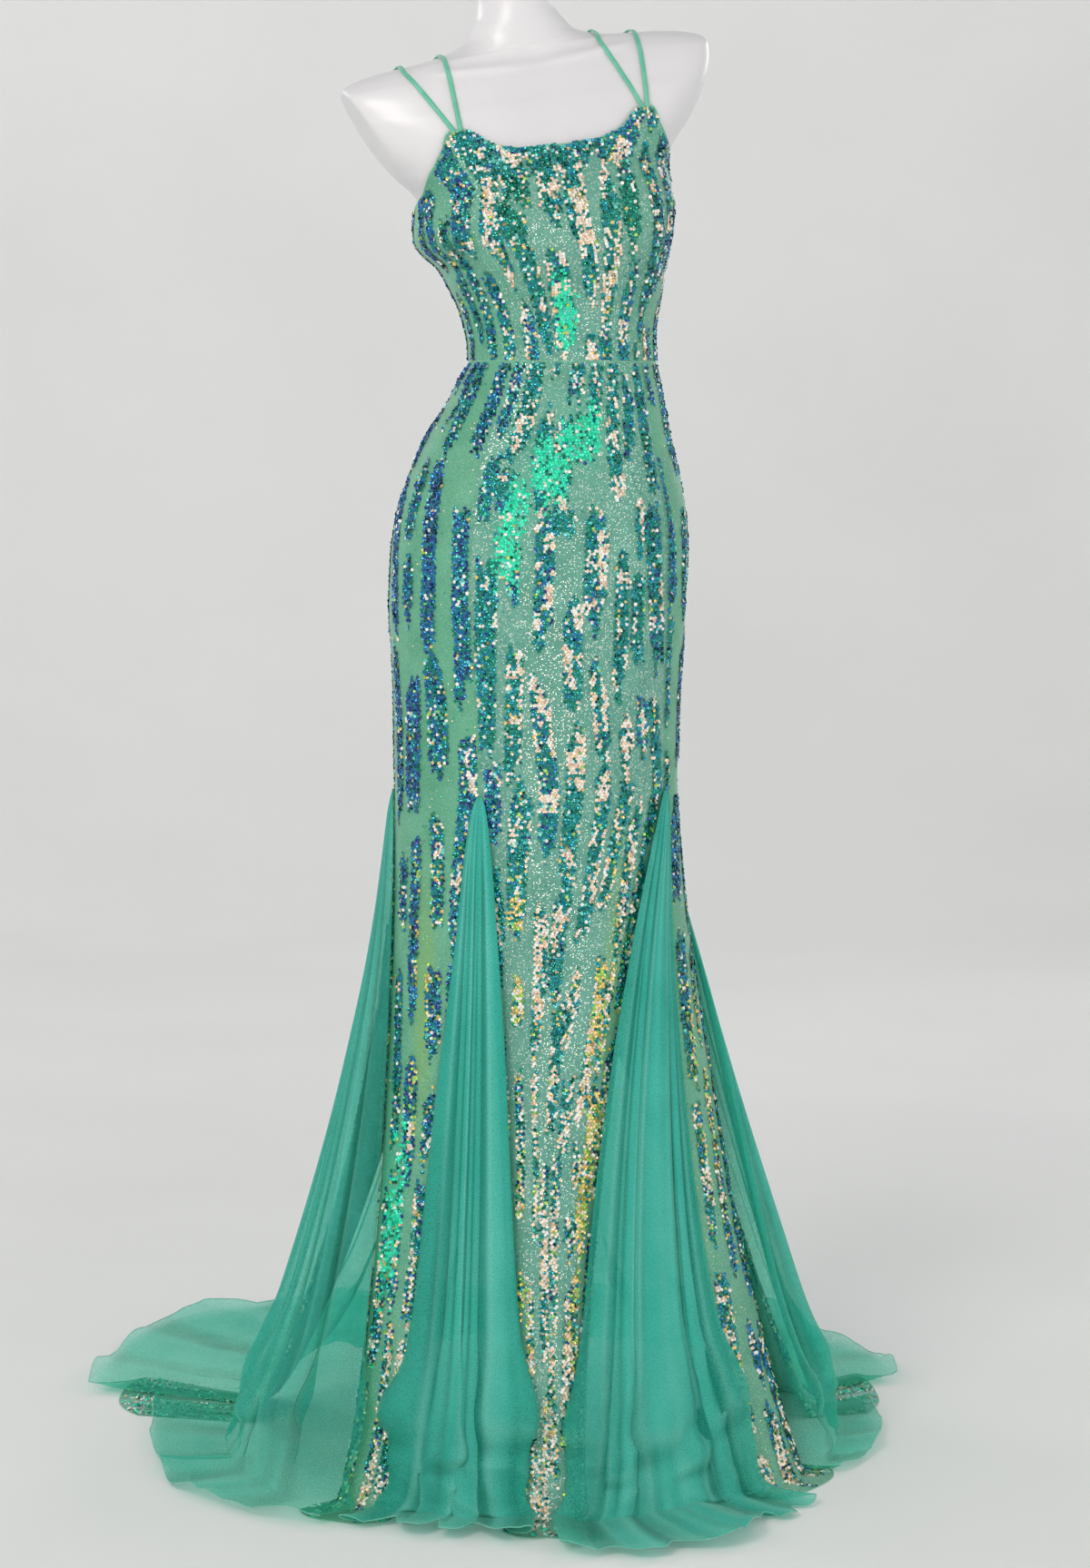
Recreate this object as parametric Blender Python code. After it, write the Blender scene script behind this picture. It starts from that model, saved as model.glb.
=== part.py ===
"""Mermaid evening gown with net godets and a train, worn by a limbless dress form on a stand.

Metres, +Z up. The gown's front faces -Y and the wearer's left is +X. The origin is under the stand's base.
Angles round the body are in degrees from the front (-Y), growing towards the wearer's left (+X).
A height is measured along the body's axis, which leans towards the wearer's right above the bust.
"""

import math
from collections import namedtuple

import bmesh
import bpy
import numpy as np
from mathutils import Matrix, Vector
from mathutils.bvhtree import BVHTree

# Driving dimensions
SEQUIN_CLOTH = 0.0015
NET_CLOTH = 0.0010
SEAM_GAP = 0.0003
MOST_MITRE = 1.4  # at a sharp fold a wall's inner point goes up to this many thicknesses deep
CLOTH_STANDOFF = 0.0042  # the cloth's outer face stands this far off the form
WAIST = 1.2335
KNEE = 0.762  # where the godets are let in
BUST = 1.389
SHOULDER_LEAN = math.radians(8.0)
FORM_BOTTOM = 0.846

Section = namedtuple("Section", "height centre_x half_width front back side_power front_power tilt")
# The form's sections, from the knee line to the top of the neck. A power below 1 squares that side off, and
# one above 1 pinches it. The tilt is in degrees, with the wearer's right side down.
SECTIONS = [
    Section(0.762, 0.0007, 0.1560, 0.104, 0.104, 0.92, 0.92, 0.0),
    Section(0.857, 0.0013, 0.1575, 0.105, 0.112, 0.92, 0.92, 0.0),
    Section(0.91, 0.0020, 0.1602, 0.105, 0.117, 0.92, 0.92, 0.0),
    Section(0.964, 0.0027, 0.1633, 0.104, 0.120, 0.92, 0.92, 0.0),
    Section(1.014, 0.0047, 0.1633, 0.102, 0.119, 0.92, 0.92, 0.0),
    Section(1.061, 0.0071, 0.1595, 0.098, 0.112, 0.92, 0.92, 0.0),
    Section(1.109, 0.0099, 0.1484, 0.093, 0.101, 0.92, 0.92, 0.0),
    Section(1.153, 0.0151, 0.1325, 0.087, 0.090, 0.92, 0.92, 0.0),
    Section(1.19, 0.0235, 0.1170, 0.081, 0.081, 0.92, 0.92, 0.0),
    Section(1.218, 0.0271, 0.1072, 0.077, 0.076, 0.92, 0.92, 0.0),
    Section(1.235, 0.0303, 0.1010, 0.075, 0.074, 0.92, 0.92, 0.0),
    Section(1.257, 0.0292, 0.1010, 0.075, 0.074, 0.92, 0.92, 0.8),
    Section(1.28, 0.0279, 0.1039, 0.077, 0.077, 0.92, 0.92, 1.6),
    Section(1.305, 0.0266, 0.1098, 0.081, 0.080, 0.91, 0.91, 3.4),
    Section(1.327, 0.0237, 0.1163, 0.085, 0.084, 0.90, 0.90, 5.0),
    Section(1.35, 0.0205, 0.1240, 0.090, 0.087, 0.89, 0.89, 6.5),
    Section(1.389, 0.0084, 0.1412, 0.094, 0.091, 0.88, 0.88, 8.0),
    Section(1.429, 0.0110, 0.1385, 0.091, 0.092, 0.86, 0.86, 8.0),
    Section(1.457, 0.0084, 0.1570, 0.086, 0.091, 0.84, 0.84, 8.0),
    Section(1.478, 0.0084, 0.1760, 0.082, 0.090, 0.82, 0.82, 8.0),
    Section(1.496, 0.0084, 0.1900, 0.078, 0.088, 0.80, 0.80, 8.4),
    Section(1.5155, 0.0084, 0.2020, 0.072, 0.083, 0.78, 0.78, 8.9),
    Section(1.526, 0.0084, 0.2070, 0.067, 0.078, 0.77, 0.77, 9.1),
    Section(1.543, 0.0084, 0.2120, 0.060, 0.070, 0.76, 0.76, 9.5),
    Section(1.555, 0.0084, 0.2130, 0.054, 0.063, 0.78, 0.80, 9.7),
    Section(1.5635, 0.0084, 0.2070, 0.049, 0.057, 0.86, 0.95, 9.8),
    Section(1.5706, 0.0084, 0.1900, 0.046, 0.053, 0.95, 1.15, 9.7),
    Section(1.576, 0.0084, 0.1620, 0.045, 0.051, 1.00, 1.35, 9.7),
    Section(1.579, 0.0084, 0.1260, 0.045, 0.051, 1.00, 1.45, 9.7),
    Section(1.583, 0.0084, 0.0930, 0.046, 0.051, 1.00, 1.35, 9.6),
    Section(1.588, 0.0084, 0.0750, 0.046, 0.052, 1.00, 1.20, 9.6),
    Section(1.593, 0.0084, 0.0640, 0.046, 0.052, 1.00, 1.10, 9.4),
    Section(1.606, 0.0084, 0.0530, 0.046, 0.052, 1.00, 1.00, 8.7),
    Section(1.6195, 0.0084, 0.0450, 0.045, 0.050, 1.00, 1.00, 8.0),
    Section(1.634, 0.0084, 0.0420, 0.044, 0.048, 1.00, 1.00, 7.9),
    Section(1.664, 0.0084, 0.0415, 0.044, 0.047, 1.00, 1.00, 7.6),
]

Yaw = namedtuple("Yaw", "height degrees")
# The pose twists the cloth's grain a little round the body.
YAWS = [Yaw(0.762, 12.5), Yaw(1.234, 5.0), Yaw(1.520, 3.0)]

Bust = namedtuple("Bust", "angle height swell angle_spread height_spread")
BUST_CUPS = [Bust(-31.0, 1.378, 0.019, 20.0, 0.043), Bust(31.0, 1.378, 0.019, 20.0, 0.043)]

TopEdge = namedtuple("TopEdge", "angle height")
# The bodice's top edge, from the centre front round one side to the centre back: a scoop, the front strap
# corner, the armhole, the back strap corner and the back scoop.
TOP_EDGE = [
    TopEdge(0.0, 1.4655),
    TopEdge(10.0, 1.4670),
    TopEdge(20.0, 1.4765),
    TopEdge(26.0, 1.4960),
    TopEdge(31.0, 1.4960),
    TopEdge(40.0, 1.4770),
    TopEdge(54.0, 1.4570),
    TopEdge(72.0, 1.4400),
    TopEdge(90.0, 1.4270),
    TopEdge(112.0, 1.4120),
    TopEdge(132.0, 1.4030),
    TopEdge(143.0, 1.4080),
    TopEdge(148.0, 1.4080),
    TopEdge(156.0, 1.3790),
    TopEdge(167.0, 1.3560),
    TopEdge(180.0, 1.3470),
]

HemPoint = namedtuple("HemPoint", "angle touch hem")
# Round the stand: how far out the falling skirt meets the floor, and how far out the hem lies. The train is at
# the back.
HEM_POINTS = [
    HemPoint(-162.0, 0.470, 0.745),
    HemPoint(-134.0, 0.400, 0.580),
    HemPoint(-120.0, 0.375, 0.525),
    HemPoint(-104.0, 0.355, 0.455),
    HemPoint(-80.0, 0.350, 0.430),
    HemPoint(-62.0, 0.335, 0.395),
    HemPoint(-48.0, 0.318, 0.368),
    HemPoint(-36.0, 0.308, 0.362),
    HemPoint(-22.0, 0.303, 0.372),
    HemPoint(-10.0, 0.300, 0.356),
    HemPoint(0.0, 0.303, 0.392),
    HemPoint(8.0, 0.310, 0.432),
    HemPoint(16.0, 0.314, 0.436),
    HemPoint(26.0, 0.315, 0.398),
    HemPoint(40.0, 0.318, 0.352),
    HemPoint(58.0, 0.328, 0.362),
    HemPoint(72.0, 0.338, 0.385),
    HemPoint(88.0, 0.350, 0.412),
    HemPoint(106.0, 0.375, 0.465),
    HemPoint(133.0, 0.415, 0.605),
    HemPoint(168.0, 0.470, 0.735),
]
FLARE_START = 0.010  # how far the cloth has swung out after the first part of its fall
FLARE_DROP = 0.350
FALL_LENGTH = 0.800
LANDING_RUN = 0.35  # how early the fall turns towards the floor, as a share of the part that lies on it
LOW = 0.120  # below this height a fold starts to lie down
EDGE_EASE = 3.6  # how early the godets open below their points

Godet = namedtuple("Godet", "name knee hem_start hem_end start_depth end_depth crest lift columns")
# Net wedges let into the seams, in order round the body. The knee angle is from the centre front and the hem
# angles from -Y. The depths are how far the seams sink in at the hem. The crest is a fold's height as a share
# of its width, the lift is the same where the net lies on the floor, and the columns are across one fold.
GODETS = [
    Godet("godet_front_left", 42.0, 0.0, 36.0, 0.034, 0.026, 0.85, 0.36, 5),
    Godet("godet_side_left", 112.0, 62.0, 96.0, 0.026, 0.020, 0.75, 0.26, 5),
    Godet("godet_back", 180.0, 116.0, 227.0, 0.020, 0.020, 0.42, 0.19, 5),
    Godet("godet_side_right", 248.0, 244.0, 303.0, 0.020, 0.026, 0.62, 0.24, 5),
    Godet("godet_front_right", 318.0, 320.0, 342.0, 0.026, 0.034, 0.90, 0.40, 5),
]

Fold = namedtuple("Fold", "width depth")
FOLDS = {
    "godet_front_left": [
        Fold(1.3, 0.90), Fold(0.7, 0.75), Fold(0.8, 0.85), Fold(1.5, 1.00), Fold(0.8, 0.80), Fold(1.1, 0.90),
    ],
    "godet_side_left": [Fold(1.1, 0.90), Fold(1.2, 1.00), Fold(0.8, 0.80), Fold(1.1, 0.90)],
    "godet_back": [
        Fold(1.1, 0.90), Fold(0.8, 0.75), Fold(1.2, 1.00), Fold(0.9, 0.80), Fold(1.1, 1.00),
        Fold(1.0, 0.85), Fold(0.8, 0.90), Fold(1.2, 1.00), Fold(0.8, 0.75), Fold(1.1, 0.90),
    ],
    "godet_side_right": [Fold(1.1, 0.90), Fold(1.1, 0.85), Fold(0.8, 1.00), Fold(1.2, 0.85), Fold(1.1, 1.00)],
    "godet_front_right": [Fold(1.2, 0.95), Fold(0.8, 0.80), Fold(0.8, 0.90), Fold(1.2, 1.00)],
}
FOLD_START = 0.26  # the folds are shallow above this level, where they are too narrow for the net's thickness
FOLD_ROUNDNESS = 0.11  # how far a fold's sides lean out past its valleys, as a share of its width
OVERHANG = 0.95  # how far an outer fold rolls over the panel beside it, as a share of its height

Panel = namedtuple("Panel", "name after before columns")
# The sequin panels below the waist, each between two godets.
PANELS = [
    Panel("skirt_front", "godet_front_right", "godet_front_left", 10),
    Panel("skirt_side_left", "godet_front_left", "godet_side_left", 7),
    Panel("skirt_back_left", "godet_side_left", "godet_back", 7),
    Panel("skirt_back_right", "godet_back", "godet_side_right", 7),
    Panel("skirt_side_right", "godet_side_right", "godet_front_right", 7),
]

FITTED_ROWS = 9
BODICE_ROWS = 11
BODICE_FRONT_ANGLES = [0.0, 7.0, 14.0, 20.0, 26.0, 31.0, 36.0, 41.0, 48.0, 56.0, 67.0, 78.0, 90.0]
BODICE_BACK_ANGLES = [90.0, 102.0, 114.0, 124.0, 134.0, 143.0, 148.0, 153.0, 160.0, 170.0, 180.0]
FALL_LEVELS = [0.014, 0.05, 0.11, 0.18, 0.27, 0.37, 0.48, 0.59, 0.70, 0.80, 0.88, 0.94, 1.0]

STRAP_WIDTH = 0.0052
STRAP_THICKNESS = 0.0024
STRAP_SIDES = 6
STRAP_POINTS = 21
STRAP_CLEARANCE = 0.0014
STRAP_HUB_DROP = 0.050  # a strap is laid out by turning about a point this far under the shoulder
STRAP_SWEEP_START, STRAP_SWEEP_END = -22.0, 224.0
STRAP_FREE = 0.009  # the strap first touches the form this far above the bodice's edge
SHOULDER_HEIGHT = 1.571
STRAP_FRONT = 28.5
STRAP_BACK = 145.5
Strap = namedtuple("Strap", "name side front_offset crest back_offset")
# Two rouleau straps rise from each front corner, part over the shoulder and meet again at the back corner.
# The offsets are in degrees, and the crest is how far from the neck the strap crosses the shoulder.
STRAPS = [
    Strap("strap_left_outer", 1, 1.3, 0.124, -1.3),
    Strap("strap_left_inner", 1, -1.3, 0.080, 1.3),
    Strap("strap_right_outer", -1, 1.3, 0.139, -1.3),
    Strap("strap_right_inner", -1, -1.3, 0.093, 1.3),
]

FORM_COLUMNS = 28
FORM_UNDERSIDE = [(0.0, 0.90), (0.004, 0.965)]  # height over the bottom, and size as a share of the hip
FORM_HEIGHTS = [
    0.862, 0.910, 0.964, 1.014, 1.061, 1.109, 1.153, 1.190, 1.235, 1.280, 1.327, 1.360, 1.389, 1.409, 1.429,
    1.443, 1.457, 1.4675, 1.478, 1.496, 1.5155, 1.528, 1.543, 1.555, 1.5635, 1.5706, 1.576, 1.579, 1.583,
    1.588, 1.593, 1.606, 1.6195, 1.634, 1.664,
]
ArmCut = namedtuple("ArmCut", "side x height slope")
# The flat faces where the form's arms would join: a point on each, and its slope from upright in degrees.
ARM_CUTS = [ArmCut(-1, -0.181, 1.470, 33.6), ArmCut(1, 0.188, 1.517, 25.0)]
ARM_CUT_START = 1.440
ARM_CUT_EDGE = 0.002  # how rounded the faces' edges are
POLE_RADIUS = 0.014
BASE_RADIUS = 0.150
BASE_THICKNESS = 0.012
ROUND_SIDES = 40


def clear_scene():
    for obj in list(bpy.data.objects):
        bpy.data.objects.remove(obj)


def material(name, colour, roughness, metallic=0.0):
    made = bpy.data.materials.new(name)
    made.use_nodes = True
    shader = made.node_tree.nodes["Principled BSDF"]
    shader.inputs["Base Color"].default_value = (*colour, 1.0)
    shader.inputs["Roughness"].default_value = roughness
    shader.inputs["Metallic"].default_value = metallic
    return made


def smooth_curve(places, values):
    """A function through the points that never overshoots them (a monotone cubic)."""
    places, values = np.asarray(places, float), np.asarray(values, float)
    steps = np.diff(places)
    slopes = np.diff(values) / steps
    before, after = slopes[:-1], slopes[1:]
    first, second = 2 * steps[1:] + steps[:-1], steps[1:] + 2 * steps[:-1]
    turning = before * after <= 0
    safe_before, safe_after = np.where(turning, 1.0, before), np.where(turning, 1.0, after)
    middle = np.where(turning, 0.0, (first + second) / (first / safe_before + second / safe_after))
    tangents = np.concatenate([slopes[:1], middle, slopes[-1:]])

    def value(place):
        place = np.clip(place, places[0], places[-1])
        i = np.clip(np.searchsorted(places, place, side="right") - 1, 0, len(steps) - 1)
        u = (place - places[i]) / steps[i]
        rise = tangents[i] * (u**3 - 2 * u**2 + u) + tangents[i + 1] * (u**3 - u**2)
        blend = 3 * u**2 - 2 * u**3
        return values[i] * (1 - blend) + values[i + 1] * blend + rise * steps[i]

    return value


def column_curve(rows, column):
    return smooth_curve([row[0] for row in rows], [getattr(row, column) for row in rows])


section_curves = {column: column_curve(SECTIONS, column) for column in Section._fields[1:]}
yaw_at = column_curve(YAWS, "degrees")
top_edge_at = column_curve(TOP_EDGE, "height")
hem_curves = {
    column: smooth_curve(
        [point.angle + turn for turn in (-360, 0, 360) for point in HEM_POINTS],
        [getattr(point, column) for _ in range(3) for point in HEM_POINTS],
    )
    for column in ("touch", "hem")
}


def smoothstep(x):
    x = np.clip(x, 0.0, 1.0)
    return x * x * (3 - 2 * x)


def signed_power(x, power):
    return np.sign(x) * np.abs(x) ** power


def outward(angle):
    angle = np.radians(angle)
    return np.stack([np.sin(angle), -np.cos(angle), np.zeros_like(angle)], axis=-1)


def sideways(angle):
    angle = np.radians(angle)
    return np.stack([np.cos(angle), np.sin(angle), np.zeros_like(angle)], axis=-1)


def unit(vectors):
    return vectors / np.linalg.norm(vectors, axis=-1, keepdims=True)


def scaled(vectors, amount):
    return vectors * np.asarray(amount)[..., None]


def body_frame(height):
    """The axis point at this height, and the section's tilt there."""
    section_x = section_curves["centre_x"](height)
    tilt = np.radians(section_curves["tilt"](height))
    above = np.maximum(height - BUST, 0.0)
    x = section_x - above * math.sin(SHOULDER_LEAN)
    z = np.minimum(height, BUST) + above * math.cos(SHOULDER_LEAN)
    return x, z, tilt


def bare_point(angle, height):
    """A point of the form's surface."""
    angle, height = np.broadcast_arrays(np.asarray(angle, float), np.asarray(height, float))
    axis_x, axis_z, tilt = body_frame(height)
    sine, cosine = np.sin(np.radians(angle)), np.cos(np.radians(angle))
    depth = np.where(cosine > 0, section_curves["front"](height), section_curves["back"](height))
    x = section_curves["half_width"](height) * signed_power(sine, section_curves["side_power"](height))
    y = -depth * signed_power(cosine, section_curves["front_power"](height))
    turned = (angle - yaw_at(height) + 180) % 360 - 180
    for cup in BUST_CUPS:
        across, up = (turned - cup.angle) / cup.angle_spread, (height - cup.height) / cup.height_spread
        swell = cup.swell * np.exp(-(across**2 + up**2) / 2)
        x, y = x + swell * sine, y - swell * cosine
    return np.stack([axis_x + x * np.cos(tilt), y, axis_z + x * np.sin(tilt)], axis=-1)


def body_point(angle, height, standoff=CLOTH_STANDOFF):
    """A point this far off the form, straight out of its surface."""
    round_step = bare_point(angle + 0.05, height) - bare_point(angle - 0.05, height)
    up_step = bare_point(angle, height + 2e-4) - bare_point(angle, height - 2e-4)
    return bare_point(angle, height) + unit(np.cross(round_step, up_step)) * standoff


def fall_point(angle, level):
    """The skirt's plain flare: it falls from level 0 at the knee, then lies on the floor up to 1 at the hem."""
    angle, level = np.broadcast_arrays(np.asarray(angle, float), np.asarray(level, float))
    knee = body_point(angle, np.full(angle.shape, KNEE))
    out = outward(angle)
    turned = (angle + 180) % 360 - 180
    touch, hem = hem_curves["touch"](turned), hem_curves["hem"](turned)
    landing = FALL_LENGTH / (FALL_LENGTH + hem - touch)
    fallen = np.minimum(level / landing, 1.0)
    rest = 1 - fallen
    low_knee = knee + out * FLARE_START - np.array([0.0, 0.0, FLARE_DROP])
    before_touch = touch - LANDING_RUN * (hem - touch)
    lying = (hem - touch) * np.maximum(level - landing, 0.0) / (1 - landing)
    return (
        scaled(knee, rest**3)
        + scaled(low_knee, 3 * rest**2 * fallen)
        + scaled(out, 3 * rest * fallen**2 * before_touch + fallen**3 * touch + lying)
    )


def edge_angle(knee, hem, level):
    """A seam's angle round the body: it swings from its place at the knee to its place at the hem."""
    start = knee + yaw_at(KNEE)
    return start + (hem - start) * (1 - np.maximum(1 - level, 0.0) ** EDGE_EASE)


def panel_surface(panel):
    """The panel's outer face: across from 0 to 1, down from -1 at the waist, 0 at the knee, to 1 at the hem."""
    godets = {godet.name: godet for godet in GODETS}
    after, before = godets[panel.after], godets[panel.before]
    turn = 360 if after.knee > before.knee else 0

    def point(across, down):
        height = KNEE - np.minimum(down, 0.0) * (WAIST - SEAM_GAP / 2 - KNEE)
        turned = after.knee - turn + (before.knee - after.knee + turn) * across
        fitted = body_point(turned + yaw_at(height), height)
        level = np.maximum(down, 0.0)
        start = edge_angle(after.knee - turn, after.hem_end - turn, level)
        end = edge_angle(before.knee, before.hem_start, level)
        angle = start + (end - start) * across
        from_middle = 2 * across - 1
        depth = np.where(from_middle < 0, after.end_depth, before.start_depth)
        loose = fall_point(angle, level) - scaled(outward(angle), depth * level * np.abs(from_middle) ** 3)
        return np.where((down <= 0)[..., None], fitted, loose)

    return point


def fold_ends(folds):
    widths = np.array([fold.width for fold in folds])
    return np.concatenate([[0.0], np.cumsum(widths)]) / widths.sum()


def godet_surface(godet):
    """The godet's outer face: across from 0 to 1, down from 0 at its point to 1 at the hem."""
    folds = FOLDS[godet.name]
    ends = fold_ends(folds)
    depths = np.array([fold.depth for fold in folds])
    rolls = np.zeros(len(folds))
    rolls[0], rolls[-1] = -OVERHANG * godet.crest, OVERHANG * godet.crest

    def point(across, down):
        start = edge_angle(godet.knee, godet.hem_start, down)
        end = edge_angle(godet.knee, godet.hem_end, down)
        angle = start + (end - start) * across
        base = fall_point(angle, down)
        i = np.clip(np.searchsorted(ends, across, side="right") - 1, 0, len(folds) - 1)
        share = (ends[1:] - ends[:-1])[i]
        phase = 2 * math.pi * (across - ends[i]) / share
        width = np.radians(end - start) * np.hypot(base[..., 0], base[..., 1]) * share
        gathered = smoothstep(down / FOLD_START)
        wave = gathered * depths[i] * (0.5 - 0.5 * np.cos(phase))
        lying = 1 - smoothstep(base[..., 2] / LOW)
        shift = width * (1 - lying) * (rolls[i] * wave - FOLD_ROUNDNESS * gathered * np.sin(phase))
        near_start, near_end = 1 - across / ends[1], 1 - (1 - across) / (1 - ends[-2])
        sunk = godet.start_depth * np.maximum(near_start, 0.0) ** 2
        sunk = sunk + godet.end_depth * np.maximum(near_end, 0.0) ** 2
        out = width * wave * godet.crest * (1 - lying / 2) - sunk * down
        raised = base + scaled(outward(angle), out) + scaled(sideways(angle), shift)
        raised[..., 2] += width * wave * godet.lift * lying
        return raised

    return point


def bodice_surface(start, end):
    """A bodice piece's outer face: across from 0 to 1 between two angles, down from 0 at its top edge to 1."""

    def point(across, down):
        turned = start + (end - start) * across
        top = top_edge_at(np.abs((turned + 180) % 360 - 180))
        height = top + (WAIST + SEAM_GAP / 2 - top) * down
        return body_point(turned + yaw_at(height), height)

    return point


def face_normal(surface, across, down):
    """The outward normal of a cloth's outer face."""
    step = 1e-4
    side = surface(across + step, down) - surface(across - step, down)
    fall = surface(across, down + step) - surface(across, down - step)
    return unit(np.cross(fall, side))


def between_rows(upper_places, lower_places, upper_points, lower_points):
    """Triangles between two rows, as (row, column) corners: in step with the places, by shorter diagonals."""
    made, i, j = [], 0, 0
    while i < len(upper_places) - 1 or j < len(lower_places) - 1:
        if i == len(upper_places) - 1 or j == len(lower_places) - 1:
            upper_next = j == len(lower_places) - 1
        elif abs(upper_places[i + 1] - lower_places[j + 1]) > 1e-9:
            upper_next = upper_places[i + 1] < lower_places[j + 1]
        else:
            down_left = np.linalg.norm(upper_points[i + 1] - lower_points[j])
            upper_next = down_left < np.linalg.norm(upper_points[i] - lower_points[j + 1])
        made.append([(0, i), (1, j), (0, i + 1)] if upper_next else [(0, i), (1, j), (1, j + 1)])
        i, j = (i + 1, j) if upper_next else (i, j + 1)
    return made


def add_object(name, bm, finish):
    mesh = bpy.data.meshes.new(name)
    bm.normal_update()
    bm.to_mesh(mesh)
    bm.free()
    mesh.shade_smooth()
    mesh.set_sharp_from_angle(angle=math.radians(50))
    mesh.materials.append(finish)
    obj = bpy.data.objects.new(name, mesh)
    bpy.context.scene.collection.objects.link(obj)
    return obj


def rim_of(rows):
    """The vertices round the edge of a sheet of rows."""
    right = [row[-1] for row in rows[1:-1]]
    left = [row[0] for row in rows[1:-1]]
    return rows[0] + right + rows[-1][::-1] + left[::-1]


def cloth_wall(name, surface, rows, thickness, finish):
    """A wall of cloth under its outer face, a seam's gap from its neighbours. Each row is (down, places across).

    The edges go in along the surface's own normals, so that they match their neighbours', and the rest along the
    mesh's, which stay clear of each other in a tight fold.
    """
    bm = bmesh.new()
    sheet, edge_normals = [], []
    for down, places in rows:
        level = np.full(len(places), float(down))
        width = np.linalg.norm(surface(np.ones(1), level[:1]) - surface(np.zeros(1), level[:1]))
        inset = SEAM_GAP / 2 / max(width, SEAM_GAP)
        across = inset + (1 - 2 * inset) * np.array(places)
        sheet.append(surface(across, level))
        edge_normals.append(face_normal(surface, across, level))
    outer = [[bm.verts.new(point) for point in row] for row in sheet]
    corners = []
    for i in range(len(rows) - 1):
        for triangle in between_rows(rows[i][1], rows[i + 1][1], sheet[i], sheet[i + 1]):
            corners.append([(i + down, across) for down, across in triangle])
            bm.faces.new([outer[row][column] for row, column in corners[-1]])
    bm.normal_update()
    inner = []
    for i, row in enumerate(outer):
        inner.append([])
        for j, vertex in enumerate(row):
            if i in (0, len(outer) - 1) or j in (0, len(row) - 1):
                under = vertex.co - Vector(edge_normals[i][j]) * thickness
            else:
                mitre = min(vertex.calc_shell_factor(), MOST_MITRE)
                under = vertex.co - vertex.normal * thickness * mitre
            below_floor = max(0.0, -vertex.co.z, -under.z)
            vertex.co.z += below_floor
            inner[-1].append(bm.verts.new(under + Vector((0.0, 0.0, below_floor))))
    for triangle in corners:
        bm.faces.new([inner[row][column] for row, column in triangle[::-1]])
    rim, under_rim = rim_of(outer), rim_of(inner)
    for i, corner in enumerate(rim):
        j = (i + 1) % len(rim)
        bm.faces.new((corner, rim[j], under_rim[j], under_rim[i]))
    return add_object(name, bm, finish)


def even_places(count):
    return [i / count for i in range(count + 1)]


def fold_places(folds, columns):
    """Places across a godet: the ends of each fold and even steps between them."""
    ends = fold_ends(folds)
    steps = np.arange(columns) / columns
    places = [start + (end - start) * step for start, end in zip(ends, ends[1:]) for step in steps]
    return places + [1.0]


def make_bodice(finish):
    left_half = [(angle + 90) / 180 for angle in BODICE_FRONT_ANGLES]
    front = [1 - place for place in reversed(left_half)] + left_half[1:]
    left = [(angle - 90) / 90 for angle in BODICE_BACK_ANGLES]
    right = [1 - place for place in reversed(left)]
    pieces = [
        ("bodice_front", -90.0, 90.0, front),
        ("bodice_back_left", 90.0, 180.0, left),
        ("bodice_back_right", 180.0, 270.0, right),
    ]
    for name, start, end, places in pieces:
        rows = [(down, places) for down in even_places(BODICE_ROWS)]
        cloth_wall(name, bodice_surface(start, end), rows, SEQUIN_CLOTH, finish)


def make_skirt(finish):
    downs = [share - 1 for share in even_places(FITTED_ROWS)] + FALL_LEVELS
    for panel in PANELS:
        rows = [(down, even_places(panel.columns)) for down in downs]
        cloth_wall(panel.name, panel_surface(panel), rows, SEQUIN_CLOTH, finish)


def make_godets(finish):
    for godet in GODETS:
        folds = FOLDS[godet.name]
        rows = []
        for level in FALL_LEVELS:
            columns = 1 if level < 0.08 else 2 if level < 0.14 else 4 if level < 0.25 else godet.columns
            places = even_places(2) if level < 0.03 else fold_places(folds, columns)
            rows.append((level, places))
        cloth_wall(godet.name, godet_surface(godet), rows, NET_CLOTH, finish)


def form_ring(height):
    """A level ring of the form, cut off flat where an arm would join."""
    ring = bare_point(np.arange(FORM_COLUMNS) * 360 / FORM_COLUMNS, np.full(FORM_COLUMNS, height))
    if height > ARM_CUT_START:
        for cut in ARM_CUTS:
            face = abs(cut.x) + (ring[:, 2] - cut.height) * math.tan(math.radians(cut.slope))
            inside = (face - cut.side * ring[:, 0]) / ARM_CUT_EDGE
            ring[:, 0] = cut.side * (face - ARM_CUT_EDGE * np.logaddexp(0.0, inside))
    return ring


def make_form(finish):
    """The torso, lofted through its rings, with a rounded bottom and a flat neck."""
    bm = bmesh.new()
    bottom = form_ring(FORM_HEIGHTS[0])
    rings = [bottom * [share, share, 0.0] + [0.0, 0.0, FORM_BOTTOM + height] for height, share in FORM_UNDERSIDE]
    rings += [form_ring(height) for height in FORM_HEIGHTS]
    rings = [[bm.verts.new(point) for point in ring] for ring in rings]
    bm.faces.new(rings[0][::-1])
    bm.faces.new(rings[-1])
    for lower, upper in zip(rings, rings[1:]):
        for i in range(FORM_COLUMNS):
            j = (i + 1) % FORM_COLUMNS
            bm.faces.new((lower[i], lower[j], upper[j], upper[i]))
    bm.normal_update()
    tree = BVHTree.FromBMesh(bm)
    add_object("form_torso", bm, finish)
    return tree


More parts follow.
